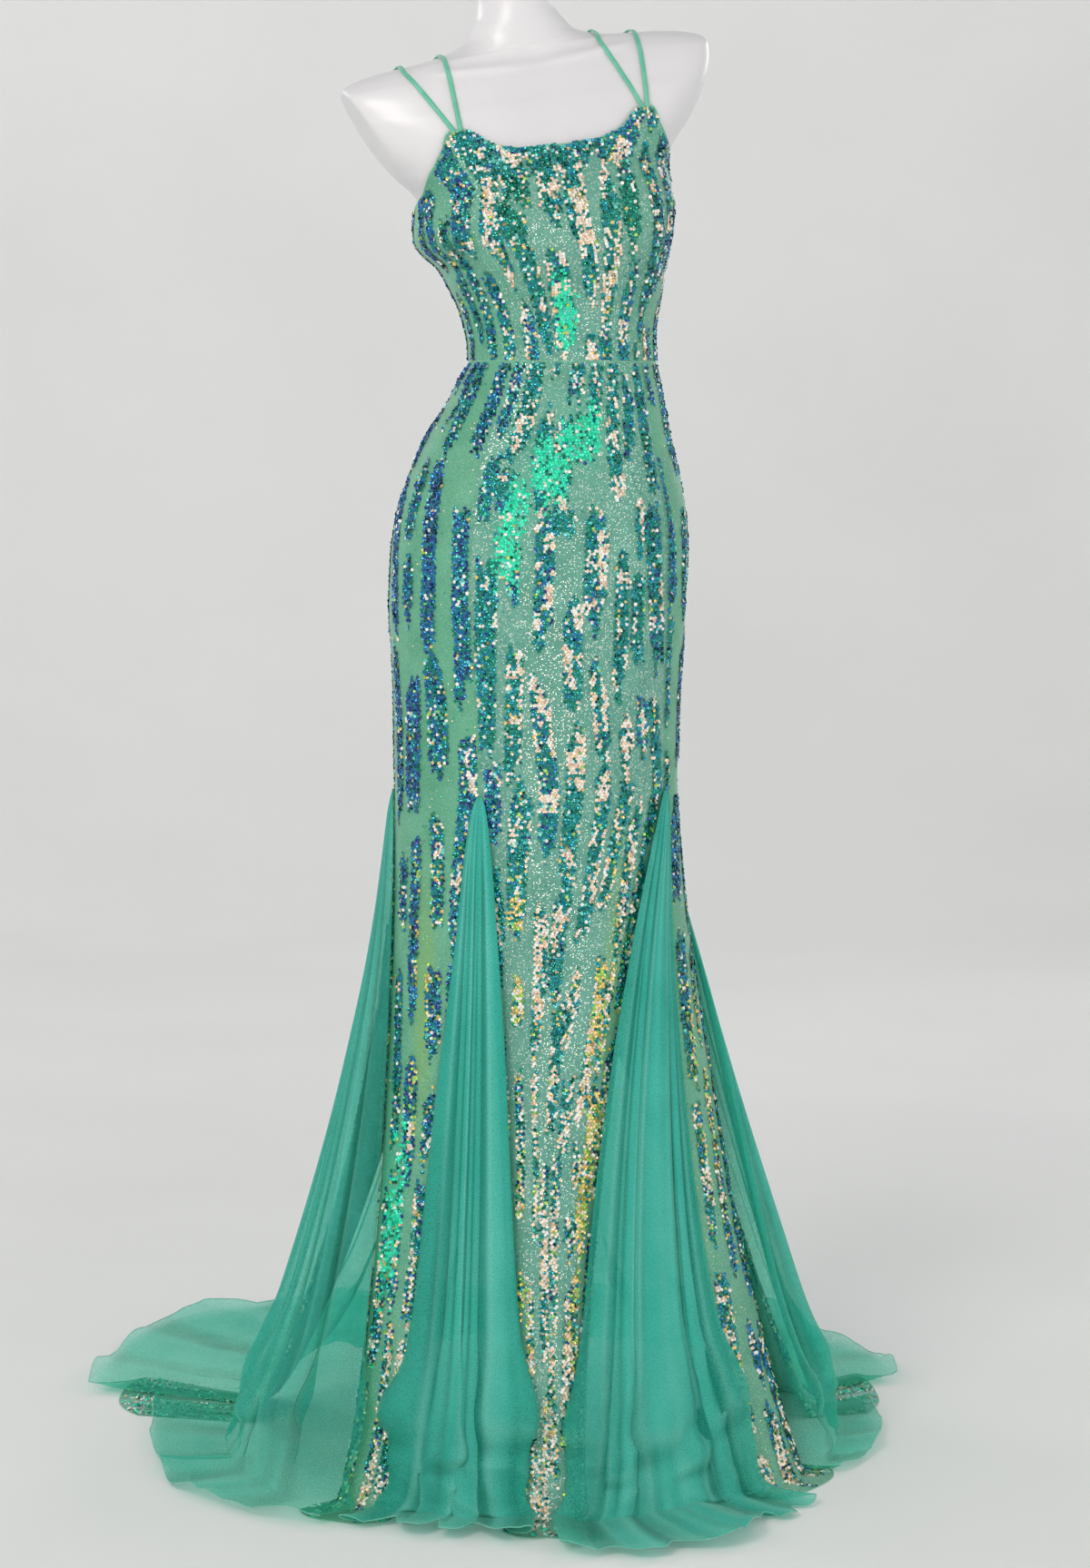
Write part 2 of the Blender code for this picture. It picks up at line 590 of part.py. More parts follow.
def make_stand(finish):
    base = bmesh.new()
    bmesh.ops.create_cone(
        base,
        cap_ends=True,
        segments=ROUND_SIDES,
        radius1=BASE_RADIUS,
        radius2=BASE_RADIUS,
        depth=BASE_THICKNESS,
        matrix=Matrix.Translation((0, 0, BASE_THICKNESS / 2)),
    )
    upper_rim = [e for e in base.edges if all(v.co.z > BASE_THICKNESS / 2 for v in e.verts)]
    bmesh.ops.bevel(base, geom=upper_rim, offset=0.004, segments=2, affect="EDGES")
    add_object("form_base", base, finish)
    pole = bmesh.new()
    low, high = BASE_THICKNESS + SEAM_GAP, FORM_BOTTOM - SEAM_GAP
    bmesh.ops.create_cone(
        pole,
        cap_ends=True,
        segments=ROUND_SIDES // 2,
        radius1=POLE_RADIUS,
        radius2=POLE_RADIUS,
        depth=high - low,
        matrix=Matrix.Translation((0, 0, (low + high) / 2)),
    )
    add_object("form_pole", pole, finish)


def swept_band(name, points, normals, aheads, width, thickness, sides, finish):
    """A band with rounded edges along a line of points, flat against the surface under it."""
    bm = bmesh.new()
    turns = 2 * math.pi * np.arange(sides) / sides
    rings = []
    for point, normal, ahead in zip(points, normals, aheads):
        flat = unit(np.cross(normal, ahead))
        lift = unit(np.cross(ahead, flat))
        ring = point + np.outer(np.cos(turns), flat * width / 2) + np.outer(np.sin(turns), lift * thickness / 2)
        rings.append([bm.verts.new(corner) for corner in ring])
    bm.faces.new(rings[0][::-1])
    bm.faces.new(rings[-1])
    for lower, upper in zip(rings, rings[1:]):
        for i in range(sides):
            j = (i + 1) % sides
            bm.faces.new((lower[i], lower[j], upper[j], upper[i]))
    bmesh.ops.recalc_face_normals(bm, faces=bm.faces[:])
    return add_object(name, bm, finish)


def strap_end(side, angle):
    """Where a strap meets the bodice's top edge: the point, the outward direction and the way up."""
    height = top_edge_at(abs(angle)) + SEAM_GAP
    turned = side * angle + yaw_at(height)
    point = body_point(turned, height, CLOTH_STANDOFF - SEQUIN_CLOTH / 2)
    outward_way = unit(point - body_point(turned, height, 0.0))
    edge_way = body_point(turned + 0.5, height) - body_point(turned - 0.5, height)
    return point, outward_way, unit(np.cross(outward_way, edge_way))


def strap_line(strap, form):
    """Points along the strap, with the outward direction and the way ahead at each, over the form's shoulder."""
    start, start_out, start_up = strap_end(strap.side, STRAP_FRONT + strap.front_offset)
    end, end_out, end_up = strap_end(strap.side, STRAP_BACK + strap.back_offset)
    axis_x, axis_z, tilt = body_frame(SHOULDER_HEIGHT)
    crest_x = axis_x + strap.side * strap.crest * math.cos(tilt)
    crest_z = axis_z + strap.side * strap.crest * math.sin(tilt)
    points, outs = [start], [start_out]
    for share in even_places(STRAP_POINTS):
        turn = math.radians(STRAP_SWEEP_START + (STRAP_SWEEP_END - STRAP_SWEEP_START) * share)
        away = Vector((0.0, -math.cos(turn), math.sin(turn)))
        low = start if share < 0.5 else end
        x = crest_x
        for _ in range(3):
            hit, normal, _, _ = form.ray_cast(Vector((x, 0.0, crest_z - STRAP_HUB_DROP)) + away * 0.5, -away)
            x = crest_x + (low[0] - crest_x) * np.clip((crest_z - hit.z) / (crest_z - low[2]), 0.0, 1.0)
        if hit.z > low[2] + STRAP_FREE:
            points.append(np.array(hit + normal * (STRAP_THICKNESS / 2 + STRAP_CLEARANCE)))
            outs.append(np.array(normal))
    points, outs = np.array(points + [end]), np.array(outs + [end_out])
    aheads = np.vstack([[start_up], unit(points[2:] - points[:-2]), [-end_up]])
    return points, outs, aheads


def make_straps(form, finish):
    for strap in STRAPS:
        points, outs, aheads = strap_line(strap, form)
        swept_band(strap.name, points, outs, aheads, STRAP_WIDTH, STRAP_THICKNESS, STRAP_SIDES, finish)


def main():
    clear_scene()
    sequin = material("sequin_mesh", (0.10, 0.48, 0.38), 0.45, 0.2)
    net = material("green_net", (0.10, 0.55, 0.45), 0.6)
    rouleau = material("green_rouleau", (0.20, 0.60, 0.45), 0.5)
    shell = material("white_form", (0.86, 0.84, 0.86), 0.25)
    steel = material("stand_steel", (0.75, 0.75, 0.77), 0.35, 0.6)
    make_bodice(sequin)
    make_skirt(sequin)
    make_godets(net)
    form = make_form(shell)
    make_stand(steel)
    make_straps(form, rouleau)


main()
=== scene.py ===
"""Looks of the evening gown on its dress form: the cloth, net, sequins and straps, and the studio round it.

Metres, +Z up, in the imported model's frame: the gown's front faces -Y and the wearer's left is +X. Angles round
the body are in degrees from the front (-Y), growing towards the wearer's left (+X).
"""

import math
from collections import namedtuple
from functools import cached_property

import bpy
import numpy as np
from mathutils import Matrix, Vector
from mathutils.bvhtree import BVHTree


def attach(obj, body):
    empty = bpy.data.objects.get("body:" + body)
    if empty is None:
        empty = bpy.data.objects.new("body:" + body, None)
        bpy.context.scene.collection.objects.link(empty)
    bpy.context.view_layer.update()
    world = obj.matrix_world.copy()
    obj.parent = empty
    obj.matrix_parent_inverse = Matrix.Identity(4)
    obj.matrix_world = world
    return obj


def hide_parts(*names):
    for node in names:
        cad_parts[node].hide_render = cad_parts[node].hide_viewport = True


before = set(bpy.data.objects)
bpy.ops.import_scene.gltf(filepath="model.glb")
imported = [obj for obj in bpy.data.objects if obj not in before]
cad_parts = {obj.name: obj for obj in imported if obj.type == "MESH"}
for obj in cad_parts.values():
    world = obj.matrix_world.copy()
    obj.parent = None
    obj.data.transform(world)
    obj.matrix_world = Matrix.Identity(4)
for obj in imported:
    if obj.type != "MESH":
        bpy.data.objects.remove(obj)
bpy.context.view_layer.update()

# Camera
CAMERA_AZIMUTH = math.radians(-12.0)
CAMERA_DISTANCE = 4.0
CAMERA_HEIGHT = 1.15
CAMERA_PITCH = math.radians(5.55)
CAMERA_LENS = 81.76
CAMERA_SIDE_STEP = 0.0103

# The gown's and form's own sizes, as in the part's source
SEQUIN_CLOTH = 0.0015
SEAM_GAP = 0.0003
CLOTH_STANDOFF = 0.0042  # the cloth's outer face stands this far off the form
WAIST = 1.2335
KNEE = 0.762  # where the godets are let in
BUST = 1.389
SHOULDER_LEAN = math.radians(8.0)
FORM_BOTTOM = 0.846

# The form's sections, from the knee line to the top of the neck: height, the middle's x, half width, depths to the
# front and to the back, the powers of the sides' and the front's shape, and tilt. A power below 1 squares that side
# off, and one above 1 pinches it. The tilt is in degrees, with the wearer's right side down.
SECTIONS = [
    (0.762, 0.0007, 0.1560, 0.104, 0.104, 0.92, 0.92, 0.0),
    (0.857, 0.0013, 0.1575, 0.105, 0.112, 0.92, 0.92, 0.0),
    (0.91, 0.0020, 0.1602, 0.105, 0.117, 0.92, 0.92, 0.0),
    (0.964, 0.0027, 0.1633, 0.104, 0.120, 0.92, 0.92, 0.0),
    (1.014, 0.0047, 0.1633, 0.102, 0.119, 0.92, 0.92, 0.0),
    (1.061, 0.0071, 0.1595, 0.098, 0.112, 0.92, 0.92, 0.0),
    (1.109, 0.0099, 0.1484, 0.093, 0.101, 0.92, 0.92, 0.0),
    (1.153, 0.0151, 0.1325, 0.087, 0.090, 0.92, 0.92, 0.0),
    (1.19, 0.0235, 0.1170, 0.081, 0.081, 0.92, 0.92, 0.0),
    (1.218, 0.0271, 0.1072, 0.077, 0.076, 0.92, 0.92, 0.0),
    (1.235, 0.0303, 0.1010, 0.075, 0.074, 0.92, 0.92, 0.0),
    (1.257, 0.0292, 0.1010, 0.075, 0.074, 0.92, 0.92, 0.8),
    (1.28, 0.0279, 0.1039, 0.077, 0.077, 0.92, 0.92, 1.6),
    (1.305, 0.0266, 0.1098, 0.081, 0.080, 0.91, 0.91, 3.4),
    (1.327, 0.0237, 0.1163, 0.085, 0.084, 0.90, 0.90, 5.0),
    (1.35, 0.0205, 0.1240, 0.090, 0.087, 0.89, 0.89, 6.5),
    (1.389, 0.0084, 0.1412, 0.094, 0.091, 0.88, 0.88, 8.0),
    (1.429, 0.0110, 0.1385, 0.091, 0.092, 0.86, 0.86, 8.0),
    (1.457, 0.0084, 0.1570, 0.086, 0.091, 0.84, 0.84, 8.0),
    (1.478, 0.0084, 0.1760, 0.082, 0.090, 0.82, 0.82, 8.0),
    (1.496, 0.0084, 0.1900, 0.078, 0.088, 0.80, 0.80, 8.4),
    (1.5155, 0.0084, 0.2020, 0.072, 0.083, 0.78, 0.78, 8.9),
    (1.526, 0.0084, 0.2070, 0.067, 0.078, 0.77, 0.77, 9.1),
    (1.543, 0.0084, 0.2120, 0.060, 0.070, 0.76, 0.76, 9.5),
    (1.555, 0.0084, 0.2130, 0.054, 0.063, 0.78, 0.80, 9.7),
    (1.5635, 0.0084, 0.2070, 0.049, 0.057, 0.86, 0.95, 9.8),
    (1.5706, 0.0084, 0.1900, 0.046, 0.053, 0.95, 1.15, 9.7),
    (1.576, 0.0084, 0.1620, 0.045, 0.051, 1.00, 1.35, 9.7),
    (1.579, 0.0084, 0.1260, 0.045, 0.051, 1.00, 1.45, 9.7),
    (1.583, 0.0084, 0.0930, 0.046, 0.051, 1.00, 1.35, 9.6),
    (1.588, 0.0084, 0.0750, 0.046, 0.052, 1.00, 1.20, 9.6),
    (1.593, 0.0084, 0.0640, 0.046, 0.052, 1.00, 1.10, 9.4),
    (1.606, 0.0084, 0.0530, 0.046, 0.052, 1.00, 1.00, 8.7),
    (1.6195, 0.0084, 0.0450, 0.045, 0.050, 1.00, 1.00, 8.0),
    (1.634, 0.0084, 0.0420, 0.044, 0.048, 1.00, 1.00, 7.9),
    (1.664, 0.0084, 0.0415, 0.044, 0.047, 1.00, 1.00, 7.6),
]

# Heights and degrees: the pose twists the cloth's grain a little round the body.
YAWS = [(0.762, 12.5), (1.234, 5.0), (1.520, 3.0)]

# The bust's two cups: their angle to each side, their height and swell, and how wide and how high they spread
CUP_ANGLE, CUP_HEIGHT, CUP_SWELL = 31.0, 1.378, 0.019
CUP_DEGREES, CUP_RISE = 20.0, 0.043

# Angles and heights of the bodice's top edge, from the centre front round one side to the centre back: a scoop,
# the front strap corner, the armhole, the back strap corner and the back scoop.
TOP_EDGE = [
    (0.0, 1.4655), (10.0, 1.4670), (20.0, 1.4765), (26.0, 1.4960), (31.0, 1.4960), (40.0, 1.4770), (54.0, 1.4570),
    (72.0, 1.4400), (90.0, 1.4270), (112.0, 1.4120), (132.0, 1.4030), (143.0, 1.4080), (148.0, 1.4080),
    (156.0, 1.3790), (167.0, 1.3560), (180.0, 1.3470),
]
TOP = max(height for _, height in TOP_EDGE)

# Angles round the stand, with how far out the falling skirt meets the floor, and how far out the hem lies. The
# train is at the back.
HEM_POINTS = [
    (-162.0, 0.470, 0.745), (-134.0, 0.400, 0.580), (-120.0, 0.375, 0.525), (-104.0, 0.355, 0.455),
    (-80.0, 0.350, 0.430), (-62.0, 0.335, 0.395), (-48.0, 0.318, 0.368), (-36.0, 0.308, 0.362),
    (-22.0, 0.303, 0.372), (-10.0, 0.300, 0.356), (0.0, 0.303, 0.392), (8.0, 0.310, 0.432), (16.0, 0.314, 0.436),
    (26.0, 0.315, 0.398), (40.0, 0.318, 0.352), (58.0, 0.328, 0.362), (72.0, 0.338, 0.385), (88.0, 0.350, 0.412),
    (106.0, 0.375, 0.465), (133.0, 0.415, 0.605), (168.0, 0.470, 0.735),
]
FLARE_START = 0.010  # how far the cloth has swung out after the first part of its fall
FLARE_DROP = 0.350
FALL_LENGTH = 0.800
LANDING_RUN = 0.35  # how early the fall turns towards the floor, as a share of the part that lies on it
LOW = 0.120  # below this height a fold starts to lie down
EDGE_EASE = 3.6  # how early the godets open below their points

# Net wedges let into the seams, in order round the body. All pairs are for a godet's start and end.
# knee, hem: the angle of its point from the centre front, and the hem's two angles from -Y
# depths: how far the seams sink in at the hem
# crest, lift: a fold's height as a share of its width, in the air and where the net lies on the floor
# shallow: the net's folds' depth as a share of the solid's
# tuck: how much of a fold's height is gone where it lies on the floor
# lobe: how much farther a fold's crest reaches over the floor than its valleys
# pools: how much of the pooled net in OVERLAPS lies over the panel at each side, as shares
# cover: how much light one face of the net stops, at the gathered point and at the hem
# flat: the width, length and area that the sheet was cut to
# folds: their widths, compared, and depths
# breaks: where a fold that stands on the floor buckles, a pillow over a sharp dent: place across and down, half
#   width, half height and bulge
# creases: place across the hem, from which level to which, half width as a share of the hem, depth in metres (a
#   ridge is below 0), and how far across it drifts on the way up
Godet = namedtuple("Godet", "name knee hem depths crest lift shallow tuck lobe pools cover flat folds breaks creases")
GODETS = [
    Godet(
        "godet_front_left", 42.0, hem=(0.0, 36.0), depths=(0.034, 0.026), crest=0.85, lift=0.36, shallow=0.42,
        tuck=0.74, lobe=0.020, pools=(1.0, 0.6), cover=(0.84, 0.60), flat=(0.62, 0.92, 0.200),
        folds=[(1.2, 0.80), (0.8, 0.60), (2.3, 0.55), (0.8, 0.70), (1.1, 0.85)],
        breaks=[
            (0.10, 0.61, 0.09, 0.06, 0.011), (0.26, 0.68, 0.07, 0.05, 0.011), (0.45, 0.60, 0.15, 0.08, 0.017),
            (0.62, 0.69, 0.12, 0.05, 0.013), (0.86, 0.62, 0.10, 0.07, 0.015),
        ],
        creases=[
            (0.09, 0.02, 0.62, 0.008, 0.0035, 0.01), (0.16, 0.3, 1.1, 0.009, 0.003, 0.02),
            (0.25, 0.05, 0.9, 0.007, 0.006, -0.01), (0.41, 0.02, 0.6, 0.01, 0.003, -0.02),
            (0.5, 0.35, 1.1, 0.016, 0.0045, 0.03), (0.62, 0.03, 0.45, 0.008, 0.0035, 0.0),
            (0.72, 0.3, 1.1, 0.008, 0.005, 0.02), (0.9, 0.05, 0.9, 0.009, 0.004, -0.01),
        ],
    ),
    Godet(
        "godet_side_left", 112.0, hem=(62.0, 96.0), depths=(0.026, 0.020), crest=0.75, lift=0.26, shallow=0.65,
        tuck=0.92, lobe=0.0, pools=(0.60, 0.90), cover=(0.58, 0.30), flat=(0.57, 0.85, 0.203),
        folds=[(1.1, 0.90), (1.2, 1.00), (0.8, 0.80), (1.1, 0.90)],
        breaks=[(0.25, 0.69, 0.14, 0.07, 0.012), (0.65, 0.64, 0.16, 0.08, 0.015)],
        creases=[
            (0.1, 0.1, 1.1, 0.012, 0.005, 0.0), (0.32, 0.2, 1.1, 0.012, 0.005, 0.02),
            (0.62, 0.08, 0.9, 0.014, 0.006, -0.02), (0.88, 0.1, 1.1, 0.014, 0.0055, 0.01),
        ],
    ),
    Godet(
        "godet_back", 180.0, hem=(116.0, 227.0), depths=(0.020, 0.020), crest=0.42, lift=0.19, shallow=0.66,
        tuck=0.92, lobe=0.0, pools=(0.80, 1.15), cover=(0.56, 0.30), flat=(1.77, 1.13, 0.763),
        folds=[
            (1.1, 0.90), (0.8, 0.75), (1.2, 1.00), (0.9, 0.80), (1.1, 1.00), (1.0, 0.85), (0.8, 0.90), (1.2, 1.00),
            (0.8, 0.75), (1.1, 0.90),
        ],
        breaks=[
            (0.08, 0.58, 0.05, 0.06, 0.011), (0.26, 0.54, 0.07, 0.06, 0.013), (0.50, 0.52, 0.08, 0.07, 0.014),
            (0.72, 0.55, 0.06, 0.06, 0.012), (0.92, 0.58, 0.05, 0.06, 0.011),
        ],
        creases=[
            (0.04, 0.1, 1.1, 0.005, 0.005, 0.0), (0.13, 0.05, 0.85, 0.007, 0.006, 0.01),
            (0.26, 0.3, 1.1, 0.006, 0.006, -0.01), (0.36, 0.1, 0.95, 0.006, 0.005, 0.01),
            (0.47, 0.08, 1.1, 0.007, 0.007, 0.0), (0.58, 0.15, 0.9, 0.005, 0.005, 0.02),
            (0.71, 0.25, 1.1, 0.006, 0.006, 0.0), (0.83, 0.08, 0.85, 0.007, 0.0065, -0.01),
            (0.94, 0.2, 1.1, 0.006, 0.005, 0.0),
        ],
    ),
    Godet(
        "godet_side_right", 248.0, hem=(244.0, 303.0), depths=(0.020, 0.026), crest=0.62, lift=0.24, shallow=0.62,
        tuck=0.92, lobe=0.0, pools=(0.90, 1.00), cover=(0.58, 0.30), flat=(0.72, 0.87, 0.299),
        folds=[(1.1, 0.90), (1.1, 0.85), (0.8, 1.00), (1.2, 0.85), (1.1, 1.00)],
        breaks=[(0.15, 0.62, 0.10, 0.07, 0.013), (0.48, 0.68, 0.12, 0.06, 0.015), (0.80, 0.64, 0.12, 0.07, 0.013)],
        creases=[
            (0.08, 0.1, 1.1, 0.009, 0.005, 0.0), (0.29, 0.2, 0.9, 0.01, 0.0055, 0.01),
            (0.47, 0.05, 1.1, 0.01, 0.006, 0.02), (0.7, 0.12, 1.1, 0.01, 0.0055, -0.01),
            (0.92, 0.1, 1.1, 0.009, 0.005, 0.0),
        ],
    ),
    Godet(
        "godet_front_right", 318.0, hem=(320.0, 342.0), depths=(0.026, 0.034), crest=0.90, lift=0.40, shallow=0.46,
        tuck=0.5, lobe=0.030, pools=(0.80, 0.9), cover=(0.84, 0.60), flat=(0.48, 0.83, 0.152),
        folds=[(1.3, 0.80), (0.8, 0.80), (0.6, 0.70), (1.5, 0.75)],
        breaks=[(0.16, 0.63, 0.14, 0.07, 0.015), (0.45, 0.70, 0.12, 0.05, 0.012), (0.80, 0.61, 0.15, 0.08, 0.017)],
        creases=[
            (0.13, 0.02, 0.75, 0.01, 0.0035, 0.01), (0.23, 0.3, 1.1, 0.012, 0.0045, 0.03),
            (0.41, 0.02, 0.9, 0.009, 0.005, 0.0), (0.57, 0.05, 0.85, 0.009, 0.005, -0.01),
            (0.8, 0.25, 1.1, 0.013, 0.0035, 0.02),
        ],
    ),
]
GODET = {godet.name: godet for godet in GODETS}
FOLD_START = 0.26  # the folds are shallow above this level, where they are too narrow for the net's thickness
FOLD_ROUNDNESS = 0.135  # how far a fold's sides lean out past its valleys, as a share of its width
OVERHANG = 0.80  # how far an outer fold rolls over the panel beside it, as a share of its height
FOLD_BROADNESS = 0.55  # below 1 the folds are broad and the valleys between them sharp
HEM_BROADNESS = 1.2
HEM_FLATNESS = 0.45  # the height of the folds that lie on the floor as a share of the solid's
FOLD_SWELLS, SWELL_SEED = 3.4, 5  # how often a fold grows deeper and shallower on its way down, and its seed
# The painted highlight where a fold turns over:
SHOULDER, SHOULDER_WIDTH = 0.17, 0.045  # where a fold turns over, as shares of its width from its valley
CREASE_FADE = 0.14  # over how much of the way down a crease begins and ends
CREASE_SCALE = 0.006  # a crease this deep gets its painted shade in full

Panel = namedtuple("Panel", "name after before flat")
# The sequin panels below the waist, each between two godets, with the width, length and area that it was cut to
PANELS = [
    Panel("skirt_front", "godet_front_right", "godet_front_left", (0.24, 1.33, 0.220)),
    Panel("skirt_side_left", "godet_front_left", "godet_side_left", (0.17, 1.31, 0.173)),
    Panel("skirt_back_left", "godet_side_left", "godet_back", (0.19, 1.39, 0.202)),
    Panel("skirt_back_right", "godet_back", "godet_side_right", (0.19, 1.46, 0.190)),
    Panel("skirt_side_right", "godet_side_right", "godet_front_right", (0.16, 1.33, 0.158)),
]
# The bodice's pieces, each from one angle to another, with its width, length and area
BODICE_PIECES = [
    ("bodice_front", -90.0, 90.0, (0.48, 0.25, 0.090)),
    ("bodice_back_left", 90.0, 180.0, (0.23, 0.19, 0.029)),
    ("bodice_back_right", 180.0, 270.0, (0.23, 0.17, 0.026)),
]

# Cloth sheets
SHEET_THICKNESS, NET_THICKNESS = 0.0008, 0.0004
PANEL_COLUMNS, SKIRT_ROWS = 26, 70
BODICE_COLUMNS, BODICE_ROWS = 40, 44
SEAM_PLACES = [0.0, 0.004, 0.009, 0.016]  # closer places across a cloth beside its seam
SEAM_DIP, SEAM_REACH = 0.0007, 0.002  # how deep a seam pulls the cloth in, and how far from it
GODET_ROWS = [(0.004, 0.12, 16), (0.13, 0.70, 44), (0.71, 1.0, 46)]  # from and to which level, and how many
FOLD_COLUMNS = 24
STRAND_WIDTH = 0.012  # how wide the closer and looser parts of the gathered net are
RIPPLE_LENGTH, RIPPLE_HEIGHT = 0.016, 0.0026

# Down a godet from its point: the level, how far the gathered net puffs sideways over its seams, how far it stands
# out in the middle, and how far the pooled net lies over the panels beside it, in metres
OVERLAPS = [
    (0.0, 0.002, 0.001, 0.0), (0.012, 0.009, 0.005, 0.0), (0.03, 0.014, 0.008, 0.0), (0.10, 0.019, 0.011, 0.0),
    (0.25, 0.018, 0.012, 0.0), (0.45, 0.012, 0.010, 0.002), (0.58, 0.010, 0.008, 0.010), (0.70, 0.008, 0.006, 0.030),
    (0.80, 0.007, 0.004, 0.052), (0.90, 0.006, 0.0, 0.080), (1.0, 0.004, 0.0, 0.105),
]
OVERLAP_REACH = 0.034  # how far from its seam at the hem the net is at full width
NET_CLEARANCE, NET_SEARCH = 0.0032, 0.06  # the net's room over the panels, and how far off they are looked for

CRUMPLE, CRUMPLE_LENGTH = 0.015, 0.055  # how deep and how long the net's crumples are over the floor
CRUMPLE_START, CRUMPLE_FULL = 0.20, 0.08  # the heights over the floor where it starts and is deepest
HEM_WAVE_START, HEM_WAVE_LENGTH = 0.84, 0.048
HEM_SWING, HEM_LIFT = 0.020, 0.009  # how far its waves go in and out, and up
BRIM_START, BRIM_CURL = 0.955, 0.008

# Sequins
SPACING = 0.0036
SEQUIN_RADIUS, SPECK_RADIUS = 0.0022, 0.0009
SEQUIN_CUP = 0.35
SEQUIN_TILT, FLOOR_TILT = 0.30, 0.60  # on the floor the cloth's sequins lie less flat
SEQUIN_LIFTS = (0.0007, 0.0014)
SEQUIN_INSET = 0.0022
SEQUIN_FLOOR = 0.0002  # no sequin reaches below this height
ROW_STEP = 0.866  # the rows' distance as a share of the sequins' spacing
FLOOR_DROP = 1.20  # how far down a panel it starts to lie on the floor
TRAIN_DROP = 1.27  # below it, this share of the sequins that lie on the floor gets a painted glint
TRAIN_SHINE = 0.72
SCATTER = 0.07  # the share of the places between the streaks that hold a tiny sequin, in the middle of the gown
Streak = namedtuple("Streak", "centre top end half_width phase")
STREAK_COLUMN = 0.0285  # the distance of the streaks' columns in the middle of the gown
SIDE_SPREAD = 0.22  # how much farther apart the columns of streaks are at the sides of the gown
STREAK_LENGTHS = (0.09, 0.26)
STREAK_GAPS = (-0.045, 0.014)
STREAK_HALF_WIDTHS = (0.0068, 0.0114)
STREAK_TIPS = (0.012, 0.034)  # how far a streak's outer strings of sequins stop short, and by how much at random
STREAK_SWAY, STREAK_SWAY_LENGTH = 0.004, 0.06
BODICE_CLOSENESS = 0.90  # on the bodice the streaks stand closer
BUST_BREADTH, BUST_DROP = 0.55, 0.15  # how much broader the streaks are at its top, and how far down it fades
BODICE_GRAIN = 0.42  # the width of half the bodice, by which the streaks' columns spread over it
EDGE_ROW, EDGE_ROW_ANGLE = 0.0075, 25.0  # how far down and round the neckline's close rows of beads reach
FRONT_INSET, EDGE_INSET = 0.0002, 0.0025  # how far from the edges the sequins start, in front and elsewhere
BODICE_SEED, SKIRT_SEED = 50, 21
BODICE_LOW, SKIRT_LOW = (-0.3, 0.9), (0.1, 1.15)  # the drops, in metres, between which the tones grow warmer, with more painted glints
PATCHES = [(0.65, 0.0065, 0.022, 3), (0.35, 0.0045, 0.008, 8)]  # soft patches of painted glints: share, width, length and seed
LIT_LEVEL = 0.822  # where a patch's painted glint share is above it, the sequins are pink or white
# Each tone's colour and metallic share
TONES = [
    ("navy", (0.020, 0.060, 0.250), 0.72),
    ("blue", (0.014, 0.190, 0.420), 0.72),
    ("teal", (0.003, 0.280, 0.320), 0.70),
    ("deep_green", (0.002, 0.250, 0.170), 0.70),
    # Emerald, gold and lime are mostly painted reflections, and rose, peach and white-pink mostly painted glints
    ("emerald", (0.006, 0.860, 0.500), 0.15),
    ("aqua", (0.150, 0.680, 0.600), 0.30),
    ("rose", (0.940, 0.620, 0.450), 0.35),
    ("peach", (1.000, 0.790, 0.590), 0.22),
    ("white_pink", (1.000, 0.940, 0.860), 0.05),
    ("gold", (0.940, 0.640, 0.200), 0.40),
    ("lime", (0.420, 0.700, 0.120), 0.30),
]
NAVY, BLUE, TEAL, DEEP_GREEN, EMERALD, AQUA, ROSE, PEACH, WHITE_PINK, GOLD, LIME = range(len(TONES))

# Painted reflections, where the foils of one cloth are shown catching the light in one colour: how far from its
# middle and from its top, half width, half length and tone
FLASHES = {
    "bodice_front": [
        (-0.020, 0.225, 0.016, 0.040, EMERALD), (0.055, 0.120, 0.020, 0.040, DEEP_GREEN),
        (-0.045, 0.090, 0.022, 0.035, DEEP_GREEN),
    ],
    "skirt_front": [
        (0.002, 0.085, 0.024, 0.036, EMERALD), (-0.034, 0.118, 0.021, 0.034, EMERALD),
        (-0.060, 0.160, 0.013, 0.034, EMERALD), (-0.075, 0.208, 0.017, 0.040, EMERALD),
        (0.055, 0.660, 0.014, 0.110, LIME), (0.068, 0.900, 0.018, 0.180, LIME),
        (-0.070, 1.080, 0.022, 0.170, LIME), (-0.075, 0.700, 0.012, 0.120, GOLD),
    ],
    "skirt_side_right": [(0.010, 0.720, 0.013, 0.130, LIME), (-0.020, 0.960, 0.020, 0.090, EMERALD)],
    "skirt_side_left": [(-0.010, 0.820, 0.020, 0.140, GOLD), (0.015, 1.080, 0.022, 0.110, BLUE)],
    "skirt_back_left": [(0.010, 0.340, 0.020, 0.060, EMERALD), (-0.020, 1.020, 0.024, 0.160, LIME)],
    "skirt_back_right": [(-0.015, 0.220, 0.018, 0.055, EMERALD), (0.020, 1.120, 0.024, 0.160, GOLD)],
}

# Trim
WAIST_CORD, EDGE_CORD, HEM_ROLL = 0.0005, 0.0006, 0.0005  # radii
CORD_SIDES, HEM_SIDES = 8, 6
CORD_STEPS, EDGE_STEPS = 200, 400
ROLL_FLOOR = 0.0002  # how far the hem's roll stays above the floor
EDGE_END = 179.6  # the top edge's fold stops beside the centre back

# Straps
STRAP_WIDTH, STRAP_THICKNESS = 0.0052, 0.0024
STRAP_CLEARANCE = 0.0014
STRAP_HUB_DROP = 0.050  # a strap is laid out by turning about a point this far under the shoulder
STRAP_SWEEP = (-22.0, 224.0)
STRAP_FREE = 0.009  # the strap first touches the form this far above the bodice's edge
STRAP_TUCK = 0.003  # how far a strap's ends go down behind the bodice's edge
STRAP_SIDES, STRAP_STATIONS = 14, 80
SHOULDER_HEIGHT = 1.571
STRAP_FRONT, STRAP_BACK = 28.5, 145.5
Strap = namedtuple("Strap", "name side front_offset crest back_offset")
